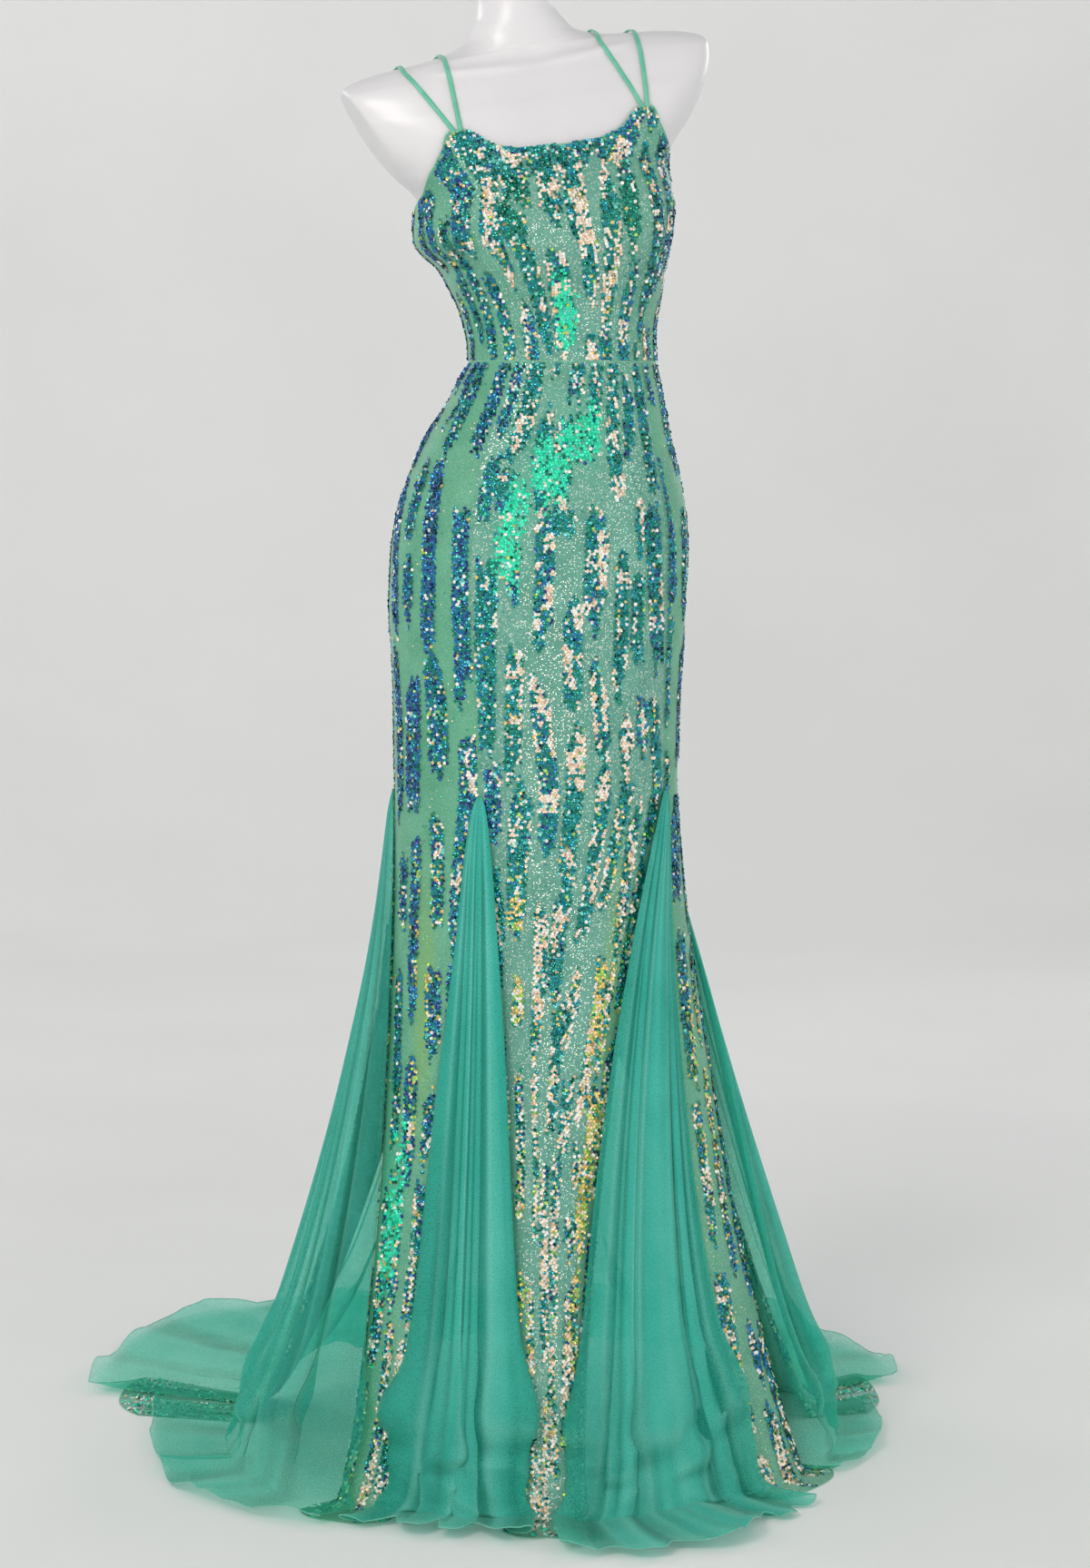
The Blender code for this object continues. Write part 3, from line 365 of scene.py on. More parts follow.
# Two rouleau straps rise from each front corner, part over the shoulder and meet again at the back corner.
# The offsets are in degrees, and the crest is how far from the neck the strap crosses the shoulder.
STRAPS = [
    Strap("strap_left_outer", 1, 1.3, 0.124, -1.3),
    Strap("strap_left_inner", 1, -1.3, 0.080, 1.3),
    Strap("strap_right_outer", -1, 1.3, 0.139, -1.3),
    Strap("strap_right_inner", -1, -1.3, 0.093, 1.3),
]

# Form
FORM_COLUMNS, FORM_STEPS = 112, 4
FORM_HEIGHTS = [
    0.862, 0.910, 0.964, 1.014, 1.061, 1.109, 1.153, 1.190, 1.235, 1.280, 1.327, 1.360, 1.389, 1.409, 1.429,
    1.443, 1.457, 1.4675, 1.478, 1.496, 1.5155, 1.528, 1.543, 1.555, 1.5635, 1.5706, 1.576, 1.579, 1.583,
    1.588, 1.593, 1.606, 1.6195, 1.634, 1.664,
]
# Heights over the bottom, and sizes as shares of the hip
FORM_UNDERSIDE = [(0.0, 0.90), (0.001, 0.925), (0.002, 0.945), (0.004, 0.965), (0.007, 0.982), (0.011, 0.994)]
NECK_EDGE = 0.985  # how much the neck's top ring is drawn in
ArmCut = namedtuple("ArmCut", "side x height slope")
# The flat faces where the form's arms would join: a point on each, and its slope from upright in degrees.
ARM_CUTS = [ArmCut(-1, -0.181, 1.470, 33.6), ArmCut(1, 0.188, 1.517, 25.0)]
ARM_CUT_START = 1.440
ARM_CUT_EDGE = 0.002  # how rounded the faces' edges are
Collarbone = namedtuple("Collarbone", "side inner outer inner_height outer_height")
COLLARBONES = [Collarbone(-1, 0.012, 0.120, 1.5590, 1.5655), Collarbone(1, 0.028, 0.125, 1.5600, 1.5660)]
COLLARBONE_RISE, COLLARBONE_WIDTH = 0.0045, 0.0050
THROAT = (0.008, 1.5640)  # the notch between them: how far from the axis, and its height
THROAT_DEPTH, THROAT_SIZE = 0.0048, 0.0100
FRONT_FADE = 0.02  # how far in front of the axis both have faded in

# Studio
FLOOR_RADIUS, WALL_CURVE, WALL_HEIGHT = 4.0, 3.0, 7.0
BACKDROP_SIDES = 72
WORLD_STRENGTH = 0.38
Light = namedtuple("Light", "name place aim size watts colour")
LIGHTS = [
    Light("key", (-2.3, -3.0, 3.2), (0.0, 0.0, 0.9), 1.6, 60.0, (1.0, 0.97, 0.93)),
    Light("fill", (2.9, -2.6, 1.8), (0.0, 0.0, 0.8), 1.8, 12.0, (0.95, 0.98, 1.0)),
    Light("rim_left", (-2.6, 2.4, 2.4), (0.0, 0.2, 0.7), 1.2, 16.0, (1.0, 1.0, 1.0)),
    Light("rim_right", (2.8, 2.2, 2.2), (0.0, 0.2, 0.7), 1.2, 16.0, (1.0, 1.0, 1.0)),
    Light("low_front", (0.6, -3.4, 0.9), (0.0, 0.0, 0.5), 0.5, 9.0, (1.0, 0.96, 0.9)),
]
WALL_TURNS, WALL_WATTS = range(0, 360, 90), 46.0


def stretch_of(places, value):
    """Which of the stretches between the places each value is in."""
    return np.clip(np.searchsorted(places, value, side="right") - 1, 0, len(places) - 2)


def smooth_curve(places, values):
    """A function through the points that never overshoots them (a monotone cubic)."""
    places, values = np.asarray(places, float), np.asarray(values, float)
    steps = np.diff(places)
    slopes = np.diff(values) / steps
    before, after = slopes[:-1], slopes[1:]
    first, second = 2 * steps[1:] + steps[:-1], steps[1:] + 2 * steps[:-1]
    turning = before * after <= 0
    safe_before, safe_after = np.where(turning, 1.0, before), np.where(turning, 1.0, after)
    middle = np.where(turning, 0.0, (first + second) / (first / safe_before + second / safe_after))
    tangents = np.concatenate([slopes[:1], middle, slopes[-1:]])

    def value(place):
        place = np.clip(place, places[0], places[-1])
        i = stretch_of(places, place)
        u = (place - places[i]) / steps[i]
        rise = tangents[i] * (u**3 - 2 * u**2 + u) + tangents[i + 1] * (u**3 - u**2)
        blend = 3 * u**2 - 2 * u**3
        return values[i] * (1 - blend) + values[i + 1] * blend + rise * steps[i]

    return value


def column_curves(rows):
    """A curve for each column of a table over its first one."""
    first, *others = zip(*rows)
    return [smooth_curve(first, values) for values in others]


middle_at, half_width_at, front_at, back_at, side_power_at, front_power_at, tilt_at = column_curves(SECTIONS)
puff_at, bulge_at, pool_at = column_curves(OVERLAPS)
(yaw_at,) = column_curves(YAWS)
(top_edge_at,) = column_curves(TOP_EDGE)
touch_at, hem_at = column_curves([(angle + turn, *rest) for turn in (-360, 0, 360) for angle, *rest in HEM_POINTS])


def smoothstep(x):
    x = np.clip(x, 0.0, 1.0)
    return x * x * (3 - 2 * x)


def signed_power(x, power):
    return np.sign(x) * np.abs(x) ** power


def wrapped(angle):
    return (angle + 180) % 360 - 180


def outward(angle):
    angle = np.radians(angle)
    return np.stack([np.sin(angle), -np.cos(angle), np.zeros_like(angle)], axis=-1)


def sideways(angle):
    angle = np.radians(angle)
    return np.stack([np.cos(angle), np.sin(angle), np.zeros_like(angle)], axis=-1)


def unit(vectors):
    return vectors / np.linalg.norm(vectors, axis=-1, keepdims=True)


def scaled(vectors, amount):
    return vectors * np.asarray(amount)[..., None]


def smooth_noise(x, y, seed):
    """Soft random values from 0 to 1, one for each whole step of x and y and blended between."""

    def lattice(i, j):
        mixed = np.sin(i * 127.1 + j * 311.7 + seed * 74.7) * 43758.5453
        return mixed - np.floor(mixed)

    i, j = np.floor(x), np.floor(y)
    u, v = smoothstep(x - i), smoothstep(y - j)
    low = lattice(i, j) * (1 - u) + lattice(i + 1, j) * u
    high = lattice(i, j + 1) * (1 - u) + lattice(i + 1, j + 1) * u
    return low * (1 - v) + high * v


# The gown's surfaces


def body_frame(height):
    """The axis point at this height, and the section's tilt there."""
    tilt = np.radians(tilt_at(height))
    above = np.maximum(height - BUST, 0.0)
    x = middle_at(height) - above * math.sin(SHOULDER_LEAN)
    z = np.minimum(height, BUST) + above * math.cos(SHOULDER_LEAN)
    return x, z, tilt


def bare_point(angle, height):
    """A point of the form's surface."""
    angle, height = np.broadcast_arrays(np.asarray(angle, float), np.asarray(height, float))
    axis_x, axis_z, tilt = body_frame(height)
    sine, cosine = np.sin(np.radians(angle)), np.cos(np.radians(angle))
    depth = np.where(cosine > 0, front_at(height), back_at(height))
    x = half_width_at(height) * signed_power(sine, side_power_at(height))
    y = -depth * signed_power(cosine, front_power_at(height))
    turned = wrapped(angle - yaw_at(height))
    for cup_angle in (-CUP_ANGLE, CUP_ANGLE):
        across, up = (turned - cup_angle) / CUP_DEGREES, (height - CUP_HEIGHT) / CUP_RISE
        swell = CUP_SWELL * np.exp(-(across**2 + up**2) / 2)
        x, y = x + swell * sine, y - swell * cosine
    return np.stack([axis_x + x * np.cos(tilt), y, axis_z + x * np.sin(tilt)], axis=-1)


def body_point(angle, height, standoff=CLOTH_STANDOFF):
    """A point this far off the form, straight out of its surface."""
    round_step = bare_point(angle + 0.05, height) - bare_point(angle - 0.05, height)
    up_step = bare_point(angle, height + 2e-4) - bare_point(angle, height - 2e-4)
    return bare_point(angle, height) + unit(np.cross(round_step, up_step)) * standoff


def fall_point(angle, level):
    """The skirt's plain flare: it falls from level 0 at the knee, then lies on the floor up to 1 at the hem."""
    angle, level = np.broadcast_arrays(np.asarray(angle, float), np.asarray(level, float))
    knee = body_point(angle, np.full(angle.shape, KNEE))
    out = outward(angle)
    touch, hem = touch_at(wrapped(angle)), hem_at(wrapped(angle))
    landing = FALL_LENGTH / (FALL_LENGTH + hem - touch)
    fallen = np.minimum(level / landing, 1.0)
    rest = 1 - fallen
    low_knee = knee + out * FLARE_START - np.array([0.0, 0.0, FLARE_DROP])
    before_touch = touch - LANDING_RUN * (hem - touch)
    lying = (hem - touch) * np.maximum(level - landing, 0.0) / (1 - landing)
    return (
        scaled(knee, rest**3)
        + scaled(low_knee, 3 * rest**2 * fallen)
        + scaled(out, 3 * rest * fallen**2 * before_touch + fallen**3 * touch + lying)
    )


def edge_angle(knee, hem, level):
    """A seam's angle round the body: it swings from its place at the knee to its place at the hem."""
    start = knee + yaw_at(KNEE)
    return start + (hem - start) * (1 - np.maximum(1 - level, 0.0) ** EDGE_EASE)


def panel_sides(panel):
    """The godets beside a panel, and the whole turn that is between their angles if it lies over the front."""
    after, before = GODET[panel.after], GODET[panel.before]
    return after, before, 360 if after.knee > before.knee else 0


def panel_angle(panel, across):
    """The angle from the centre front at a place across the panel."""
    after, before, turn = panel_sides(panel)
    return after.knee - turn + (before.knee - after.knee + turn) * across


def panel_surface(panel):
    """The panel's outer face: across from 0 to 1, down from -1 at the waist, 0 at the knee, to 1 at the hem."""
    after, before, turn = panel_sides(panel)

    def point(across, down):
        height = KNEE - np.minimum(down, 0.0) * (WAIST - SEAM_GAP / 2 - KNEE)
        fitted = body_point(panel_angle(panel, across) + yaw_at(height), height)
        level = np.maximum(down, 0.0)
        start = edge_angle(after.knee - turn, after.hem[1] - turn, level)
        end = edge_angle(before.knee, before.hem[0], level)
        angle = start + (end - start) * across
        from_middle = 2 * across - 1
        depth = np.where(from_middle < 0, after.depths[1], before.depths[0])
        loose = fall_point(angle, level) - scaled(outward(angle), depth * level * np.abs(from_middle) ** 3)
        return np.where((down <= 0)[..., None], fitted, loose)

    return point


def fold_ends(godet):
    widths = np.array([width for width, _ in godet.folds])
    return np.concatenate([[0.0], np.cumsum(widths)]) / widths.sum()


def godet_surface(godet):
    """The godet's outer face: across from 0 to 1, down from 0 at its point to 1 at the hem."""
    ends = fold_ends(godet)
    depths = np.array([depth for _, depth in godet.folds])
    crest = godet.crest * godet.shallow
    rolls = np.zeros(len(depths))
    rolls[0], rolls[-1] = -OVERHANG * godet.crest, OVERHANG * godet.crest

    def point(across, down):
        start, end = (edge_angle(godet.knee, hem, down) for hem in godet.hem)
        angle = start + (end - start) * across
        base = fall_point(angle, down)
        i = stretch_of(ends, across)
        share = (ends[1:] - ends[:-1])[i]
        phase = 2 * math.pi * (across - ends[i]) / share
        width = np.radians(end - start) * np.hypot(base[..., 0], base[..., 1]) * share
        gathered = smoothstep(down / FOLD_START)
        swelling = 0.55 + 0.9 * smooth_noise(i * 7.3, down * FOLD_SWELLS + i * 0.37, SWELL_SEED + len(depths))
        broadness = FOLD_BROADNESS + (HEM_BROADNESS - FOLD_BROADNESS) * smoothstep((down - 0.72) / 0.22)
        wave = gathered * depths[i] * swelling * (0.5 - 0.5 * np.cos(phase)) ** broadness
        lying = 1 - smoothstep(base[..., 2] / LOW)
        shift = width * (1 - lying) * (rolls[i] * wave - FOLD_ROUNDNESS * gathered * np.sin(phase))
        near_start, near_end = 1 - across / ends[1], 1 - (1 - across) / (1 - ends[-2])
        sunk = godet.depths[0] * np.maximum(near_start, 0.0) ** 2
        sunk = sunk + godet.depths[1] * np.maximum(near_end, 0.0) ** 2
        out = width * wave * crest * (1 - godet.tuck * lying) - sunk * down
        raised = base + scaled(outward(angle), out) + scaled(sideways(angle), shift)
        raised[..., 2] += width * wave * godet.lift * HEM_FLATNESS * lying
        return raised

    return point


def bodice_surface(start, end, level_rows=False):
    """A bodice piece's outer face between two angles: across from 0 to 1, down from 0 at its top edge to 1.

    In level rows, down is 0 at the height of the highest strap corner all the way across.
    """

    def point(across, down):
        turned = start + (end - start) * across
        top = TOP if level_rows else top_edge_at(np.abs(wrapped(turned)))
        bottom = WAIST if level_rows else WAIST + SEAM_GAP / 2
        height = top + (bottom - top) * down
        return body_point(turned + yaw_at(height), height)

    return point


def face_of(surface, across, down):
    """Points of a cloth's outer face, with their outward normals and their ways across."""
    step = 1e-4
    side = surface(across + step, down) - surface(across - step, down)
    fall = surface(across, down + step) - surface(across, down - step)
    return surface(across, down), unit(np.cross(fall, side)), unit(side)


# Meshes


def crossed(across, down):
    """Every place of a row of places across with every place down, as two arrays of one shape."""
    return np.broadcast_arrays(np.asarray(across, float)[None, :], np.asarray(down, float)[:, None])


def run_lengths(points, axis):
    """How far along a line of points each of them is."""
    steps = np.linalg.norm(np.diff(points, axis=axis), axis=-1)
    start = np.zeros_like(np.take(steps, [0], axis=axis))
    return np.concatenate([start, np.cumsum(steps, axis=axis)], axis=axis)


def add_object(name, data):
    obj = bpy.data.objects.new(name, data)
    bpy.context.scene.collection.objects.link(obj)
    return obj


def as_lists(points, faces):
    """Points as a list, and groups of faces, arrays of corners, as one list."""
    return points.tolist(), [face for group in faces for face in group.tolist()]


def plain_mesh(name, points, faces, materials):
    """A smooth mesh."""
    mesh = bpy.data.meshes.new(name)
    points, faces = as_lists(points, faces)
    mesh.from_pydata(points, [], faces)
    mesh.shade_smooth()
    for finish in materials:
        mesh.materials.append(finish)
    return mesh


def make_mesh(name, points, faces, materials, face_materials=None, values=None, sharp_angle=60.0):
    """An object that rides on the gown. Values holds point attributes."""
    mesh = plain_mesh(name, points, faces, materials)
    if sharp_angle:
        mesh.set_sharp_from_angle(angle=math.radians(sharp_angle))
    if face_materials is not None:
        mesh.polygons.foreach_set("material_index", np.asarray(face_materials, np.int32))
    for label, numbers in (values or {}).items():
        attribute = mesh.attributes.new(label, "FLOAT", "POINT")
        attribute.data.foreach_set("value", np.asarray(numbers, np.float32))
    mesh.update()
    obj = add_object(name, mesh)
    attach(obj, "root")
    return obj


def grid_faces(rows, columns, first=0):
    """Four-cornered faces of a grid of points, turned outward where rows go down and columns to the left."""
    corner = first + np.arange((rows - 1) * columns).reshape(rows - 1, columns)[:, :-1]
    return np.stack([corner, corner + columns, corner + columns + 1, corner + 1], axis=-1).reshape(-1, 4)


def thin_cloth(prefix, name, outer, normals, thickness, finish, values):
    """A closed shell of cloth in a piece's place, lifted where it would go below the floor."""
    rows, columns = outer.shape[:2]
    inner = outer - normals * thickness
    below = np.maximum(0.0, -np.minimum(outer[..., 2], inner[..., 2]))
    outer, inner = outer.copy(), inner.copy()
    outer[..., 2] += below
    inner[..., 2] += below
    count = rows * columns
    index = np.arange(count).reshape(rows, columns)
    rim = np.concatenate([index[0], index[1:, -1], index[-1, :-1][::-1], index[1:-1, 0][::-1]])
    after = np.roll(rim, -1)
    faces = [
        grid_faces(rows, columns),
        grid_faces(rows, columns, count)[:, ::-1],
        np.stack([rim, after, after + count, rim + count], axis=-1),
    ]
    points = np.concatenate([outer.reshape(-1, 3), inner.reshape(-1, 3)])
    doubled = {key: np.tile(np.broadcast_to(shares, (rows, columns)).ravel(), 2) for key, shares in values.items()}
    cloth = make_mesh(prefix + name, points, faces, [finish], values=doubled)
    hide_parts(name)
    return cloth


def ring_faces(rings, sides, closed=False):
    """The sides of a tube and, unless it closes on itself, its two ends."""
    index = np.arange(rings * sides).reshape(rings, sides)
    beside = np.roll(index, -1, axis=1)
    walls = np.stack([index, beside, np.roll(beside, -1, axis=0), np.roll(index, -1, axis=0)], axis=-1)
    if closed:
        return [walls.reshape(-1, 4)]
    return [walls[:-1].reshape(-1, 4), index[:1, ::-1], index[-1:]]


def make_tube(name, points, outs, half_width, half_height, sides, finish, closed=False):
    """A tube round a line, flat against the surface that the line lies on."""
    ahead = np.roll(points, -1, axis=0) - np.roll(points, 1, axis=0) if closed else np.gradient(points, axis=0)
    flat = unit(np.cross(outs, unit(ahead)))
    lift = unit(np.cross(unit(ahead), flat))
    turns = 2 * math.pi * np.arange(sides)[None, :, None] / sides
    rings = points[:, None] + np.cos(turns) * flat[:, None] * half_width + np.sin(turns) * lift[:, None] * half_height
    return make_mesh(name, rings.reshape(-1, 3), ring_faces(len(points), sides, closed), [finish])


# Cloth


def edge_places(columns):
    """Places across a panel, closer together beside its seams."""
    inner = np.linspace(0.03, 0.97, columns)
    return np.concatenate([SEAM_PLACES, inner, 1 - np.array(SEAM_PLACES[::-1])])


def make_skirt_panel(panel, finish):
    """A sequin panel's ground cloth, with the soft dip that its seams pull into it."""
    surface = panel_surface(panel)
    downs = np.concatenate([np.linspace(-1.0, 0.0, SKIRT_ROWS, endpoint=False), np.linspace(0.0, 1.0, SKIRT_ROWS)])
    across, down = crossed(edge_places(PANEL_COLUMNS), downs)
    points, normals, _ = face_of(surface, across, down)
    run = run_lengths(points, 1)
    from_seam = np.minimum(run, run[:, -1:] - run)
    points = points - normals * (SEAM_DIP * np.exp(-((from_seam / SEAM_REACH) ** 2)))[..., None]
    side = abs(math.sin(math.radians(panel_angle(panel, 0.5))))
    place = FLASHES.get(panel.name, []), (across - 0.5) * run[:, -1:], run_lengths(points, 0)
    values = {
        "glitter": np.clip(1.1 - side**2 + 0.3 * down, 0.15, 1.0),
        # the lime and emerald shares are painted reflections
        "lime": flash_share(*place, [LIME]),
        "emerald": flash_share(*place, [EMERALD]),
    }
    return thin_cloth("cloth_", panel.name, points, normals, SHEET_THICKNESS, finish, values), points, normals


def make_bodice_piece(name, start, end, finish):
    surface = bodice_surface(start, end)
    across, down = crossed(edge_places(BODICE_COLUMNS), np.linspace(0.0, 1.0, BODICE_ROWS))
    points, normals, _ = face_of(surface, across, down)
    side = np.abs(np.sin(np.radians(start + (end - start) * across)))
    values = {"glitter": np.clip(1.15 - side**1.5, 0.0, 1.0), "lime": 0.0, "emerald": 0.0}
    return thin_cloth("cloth_", name, points, normals, SHEET_THICKNESS, finish, values)


def crease_depth(godet, across, down, spread):
    """How far the net sinks at its smaller creases. Spread is each row's width as a share of the hem's."""
    total = np.zeros_like(across)
    for place, top, end, width, depth, drift in godet.creases:
        away = (across - place - drift * (1 - down)) / width
        shown = smoothstep((down - top) / CREASE_FADE) * smoothstep((end - down) / CREASE_FADE)
        total += depth * shown * np.exp(0.25 - np.sqrt(away**2 + 0.0625))
    return total * spread


def fold_marks(godet, across, down):
    """Two shares from 0 to 1: in the valley between two folds, and on the shoulders where a fold turns over."""
    ends = fold_ends(godet)
    i = stretch_of(ends, across)
    share = (across - ends[i]) / (ends[i + 1] - ends[i])
    gathered = smoothstep(down / 0.10)
    valley = (0.5 + 0.5 * np.cos(2 * math.pi * share)) ** 3 * gathered
    shoulder = np.exp(-(((np.minimum(share, 1 - share) - SHOULDER) / SHOULDER_WIDTH) ** 2)) * gathered
    return valley, shoulder


def overlap_shift(godet, across, down, hem_width):
    """How far the net goes sideways over its seams and out, and a ramp: 0 on the seam itself, 1 inside."""
    ends = fold_ends(godet)
    reach = OVERLAP_REACH / hem_width
    ramp = smoothstep(np.minimum(across / min(ends[1] / 2, reach), (1 - across) / min((1 - ends[-2]) / 2, reach)))
    from_middle = 2 * across - 1
    pool = np.where(from_middle < 0, *godet.pools) * pool_at(down)
    lift = bulge_at(down) * (1 - from_middle**2)
    puffed = puff_at(down) * from_middle
    return ramp * (puffed + pool * np.sign(from_middle) * np.abs(from_middle) ** 1.3), lift, ramp


def break_bulge(godet, across, down):
    """How far the net stands out where it buckles, and the shares of painted shade in a dent and painted highlight
    above it.
    """
    total, painted_dent_shade, painted_rim_highlight = np.zeros_like(across), np.zeros_like(across), np.zeros_like(across)
    for place, level, half_width, half_height, bulge in godet.breaks:
        u, v = (across - place) / half_width, (down - level) / half_height
        pillow = smoothstep((v + 1) / 1.3) * smoothstep((1 - v) / 0.6)
        beside = smoothstep(1.2 - np.abs(u + 0.35 * v))
        total += bulge * pillow * beside
        painted_dent_shade = np.maximum(painted_dent_shade, np.exp(-(((v - 1.0) / 0.22) ** 2)) * beside)
        painted_rim_highlight = np.maximum(painted_rim_highlight, np.exp(-(((v - 0.62) / 0.20) ** 2)) * beside)
    return total, painted_dent_shade, painted_rim_highlight


def crumple(run, down, height, seed):
    """Soft creases at a slant where the net stands on the floor: their height, and their shares of painted shade and
    highlight.
    """
    shown = smoothstep((CRUMPLE_START - height) / (CRUMPLE_START - CRUMPLE_FULL)) * smoothstep((1 - down) / 0.12)
    slanted = smooth_noise(run / CRUMPLE_LENGTH + 3.1 * down, down * 9.0 - run / 0.11, seed)
    crossed_over = smooth_noise(run / (0.45 * CRUMPLE_LENGTH) - 4.7 * down, down * 17.0 + run / 0.07, seed + 5)
    height = 0.7 * (1 - np.abs(2 * slanted - 1)) + 0.3 * (1 - np.abs(2 * crossed_over - 1))
    return shown * height, shown * np.maximum(1 - height / 0.45, 0.0), shown * np.maximum(height / 0.25 - 3.0, 0.0)


def clear_of(tree, points, clearance):
    """The points, with any that are under a cloth or too near it lifted off its outer face."""
    moved = points.copy()
    for place in zip(*np.nonzero(clearance > 0)):
        near, normal, _, _ = tree.find_nearest(Vector(points[place]), NET_SEARCH)
        if near is not None:
            height = (Vector(points[place]) - near).dot(normal)
            if height < clearance[place]:
                moved[place] = np.array(Vector(points[place]) + normal * (clearance[place] - height))
    return moved


def make_net_godet(godet, panels, finish):
    """A net godet with its large folds and small creases, its puffed point, and the pooled edge on the floor."""
    surface = godet_surface(godet)
    ends = fold_ends(godet)
    places = [low + (high - low) * np.arange(FOLD_COLUMNS) / FOLD_COLUMNS for low, high in zip(ends, ends[1:])]
    levels = np.concatenate([np.linspace(*rows) for rows in GODET_ROWS])
    across, down = crossed(np.append(np.concatenate(places), 1.0), levels)
    points, normals, _ = face_of(surface, across, down)
    width = run_lengths(points, 1)[:, -1:]
    points = points - scaled(normals, crease_depth(godet, across, down, (width / width[-1]) ** 0.7))
    run = across * width[-1]
    seed = GODETS.index(godet) + 1
    ripple = smooth_noise(run / RIPPLE_LENGTH, down * 5.0 + seed, seed) - 0.5
    points = points + scaled(normals, RIPPLE_HEIGHT * ripple * smoothstep(down / 0.5))
    # The buckles, crumples and pools, which leave the seams where they are
    shift, lift, ramp = overlap_shift(godet, across, down, width[-1, 0])
    away = unit(points * [1.0, 1.0, 0.0])
    beside = np.stack([-away[..., 1], away[..., 0], np.zeros_like(across)], axis=-1)
    bulge, painted_dent_shade, painted_rim_highlight = break_bulge(godet, across, down)
    crumpled, painted_hollow_shade, painted_crest_highlight = crumple(run, down, points[..., 2], seed + 80)
    swell = (bulge + CRUMPLE * crumpled) * ramp * (1 - 0.6 * np.maximum(normals[..., 2], 0.0))
    points = points + scaled(beside, shift) + scaled(away, lift) + scaled(normals, swell)
    # The hem: waves in and out and up and down, and a brim that curls
    hemward = smoothstep((down - HEM_WAVE_START) / (1 - HEM_WAVE_START))
    lying = hemward * ramp
    brim = smoothstep((down - BRIM_START) / (1 - BRIM_START)) * ramp
    wave, swing, curl = (
        smooth_noise(run / (stretch * HEM_WAVE_LENGTH), down * 0.0, seed + offset)
        for stretch, offset in ((1.0, 20), (2.2, 40), (1.6, 60))
    )
    crest = 1 - fold_marks(godet, across, np.ones_like(down))[0]
    lobe = godet.lobe * (crest - 0.6) * hemward**1.5
    points = points + scaled(away, lobe + HEM_SWING * (swing - 0.5) * lying - BRIM_CURL * curl * brim**2)
    points[..., 2] += HEM_LIFT * wave * lying**2 + BRIM_CURL * curl * brim
    from_middle = np.abs(2 * across - 1)
    points = clear_of(panels, points, np.where(from_middle > 0.3, NET_CLEARANCE * ramp, 0.0))
    normals = unit(np.cross(np.gradient(points, axis=0), np.gradient(points, axis=1)))
    # How much light the net stops, most at its gathered point and least at the hem, and its painted shade and
    # highlights
    strand = smooth_noise(run / max(STRAND_WIDTH, 2.6 * width[-1, 0] / len(points[0])), down * 2.2, seed + 100)
    small = crease_depth(godet, across, down, 1.0) / CREASE_SCALE
    valley, shoulder = fold_marks(godet, across, down)
    most, least = godet.cover
    cover = least + (most - least) * (1 - smoothstep(down / 0.9))
    # Painted shade in the fold valleys, small creases, dents and the crumples' low parts; looser strands are deeper
    dark = 0.7 * valley + 0.25 * small + 0.4 * painted_dent_shade + 0.35 * painted_hollow_shade + 0.5 * (0.4 - strand)
    # Painted highlight where folds turn over, on the rims and on the crumples' crests; closer strands are paler
    pale = shoulder * (1 - 0.5 * lying) + 0.55 * painted_rim_highlight + 0.5 * painted_crest_highlight + 1.2 * (strand - 0.55)
    values = {
        "cover": cover * (1 - 0.45 * smoothstep((from_middle - 0.5) / 0.35)) * (0.86 + 0.28 * strand),
        # valley carries the painted shade and shoulder the painted highlight
        "valley": np.clip(dark, 0.0, 1.0),
        "shoulder": np.clip(pale, 0.0, 1.0),
    }
    return thin_cloth("net_", godet.name, points, normals, NET_THICKNESS, finish, values), points, normals


# Sequins


def spread_sites(surface, top, end):
    """Places for sequins in staggered rows, evenly spaced over a cloth, with each row's width and its way down."""
    fine = np.linspace(top, end, 700)
    drop = run_lengths(surface(np.full(700, 0.5), fine), 0)
    downs = np.interp(np.arange(SPACING, drop[-1] - SPACING / 2, SPACING * ROW_STEP), drop, fine)
    ladder = np.linspace(0.0, 1.0, 49)
    runs = run_lengths(surface(*crossed(ladder, downs)), 1)
    acrosses, rows, widths = [], [], []
    for i, run in enumerate(runs):
        places = np.arange(SEQUIN_INSET + (i % 2) * SPACING / 2, run[-1] - SEQUIN_INSET, SPACING)
        acrosses.append(np.interp(places, run, ladder))
        rows.append(np.full(len(places), i))
        widths.append(np.full(len(places), run[-1]))
    rows = np.concatenate(rows)
    return np.concatenate(acrosses), downs[rows], np.concatenate(widths), np.interp(downs, fine, drop)[rows]


def make_streaks(rng, width, length, column):
    """Flame-shaped groups of sequins down the grain, in uneven columns."""
    streaks = []
    centre = -width / 2 + rng.uniform(0.1, 0.9) * column
    while centre < width / 2:
        top = -rng.uniform(0.0, 0.16)
        while top < length:
            long = rng.uniform(*STREAK_LENGTHS)
            middle = centre + rng.uniform(-0.004, 0.004)
            streaks.append(
                Streak(middle, top, top + long, rng.uniform(*STREAK_HALF_WIDTHS), rng.uniform(0.0, 6.28))
            )
            top += long + rng.uniform(*STREAK_GAPS)
        centre += column * rng.uniform(0.82, 1.18)
    return streaks


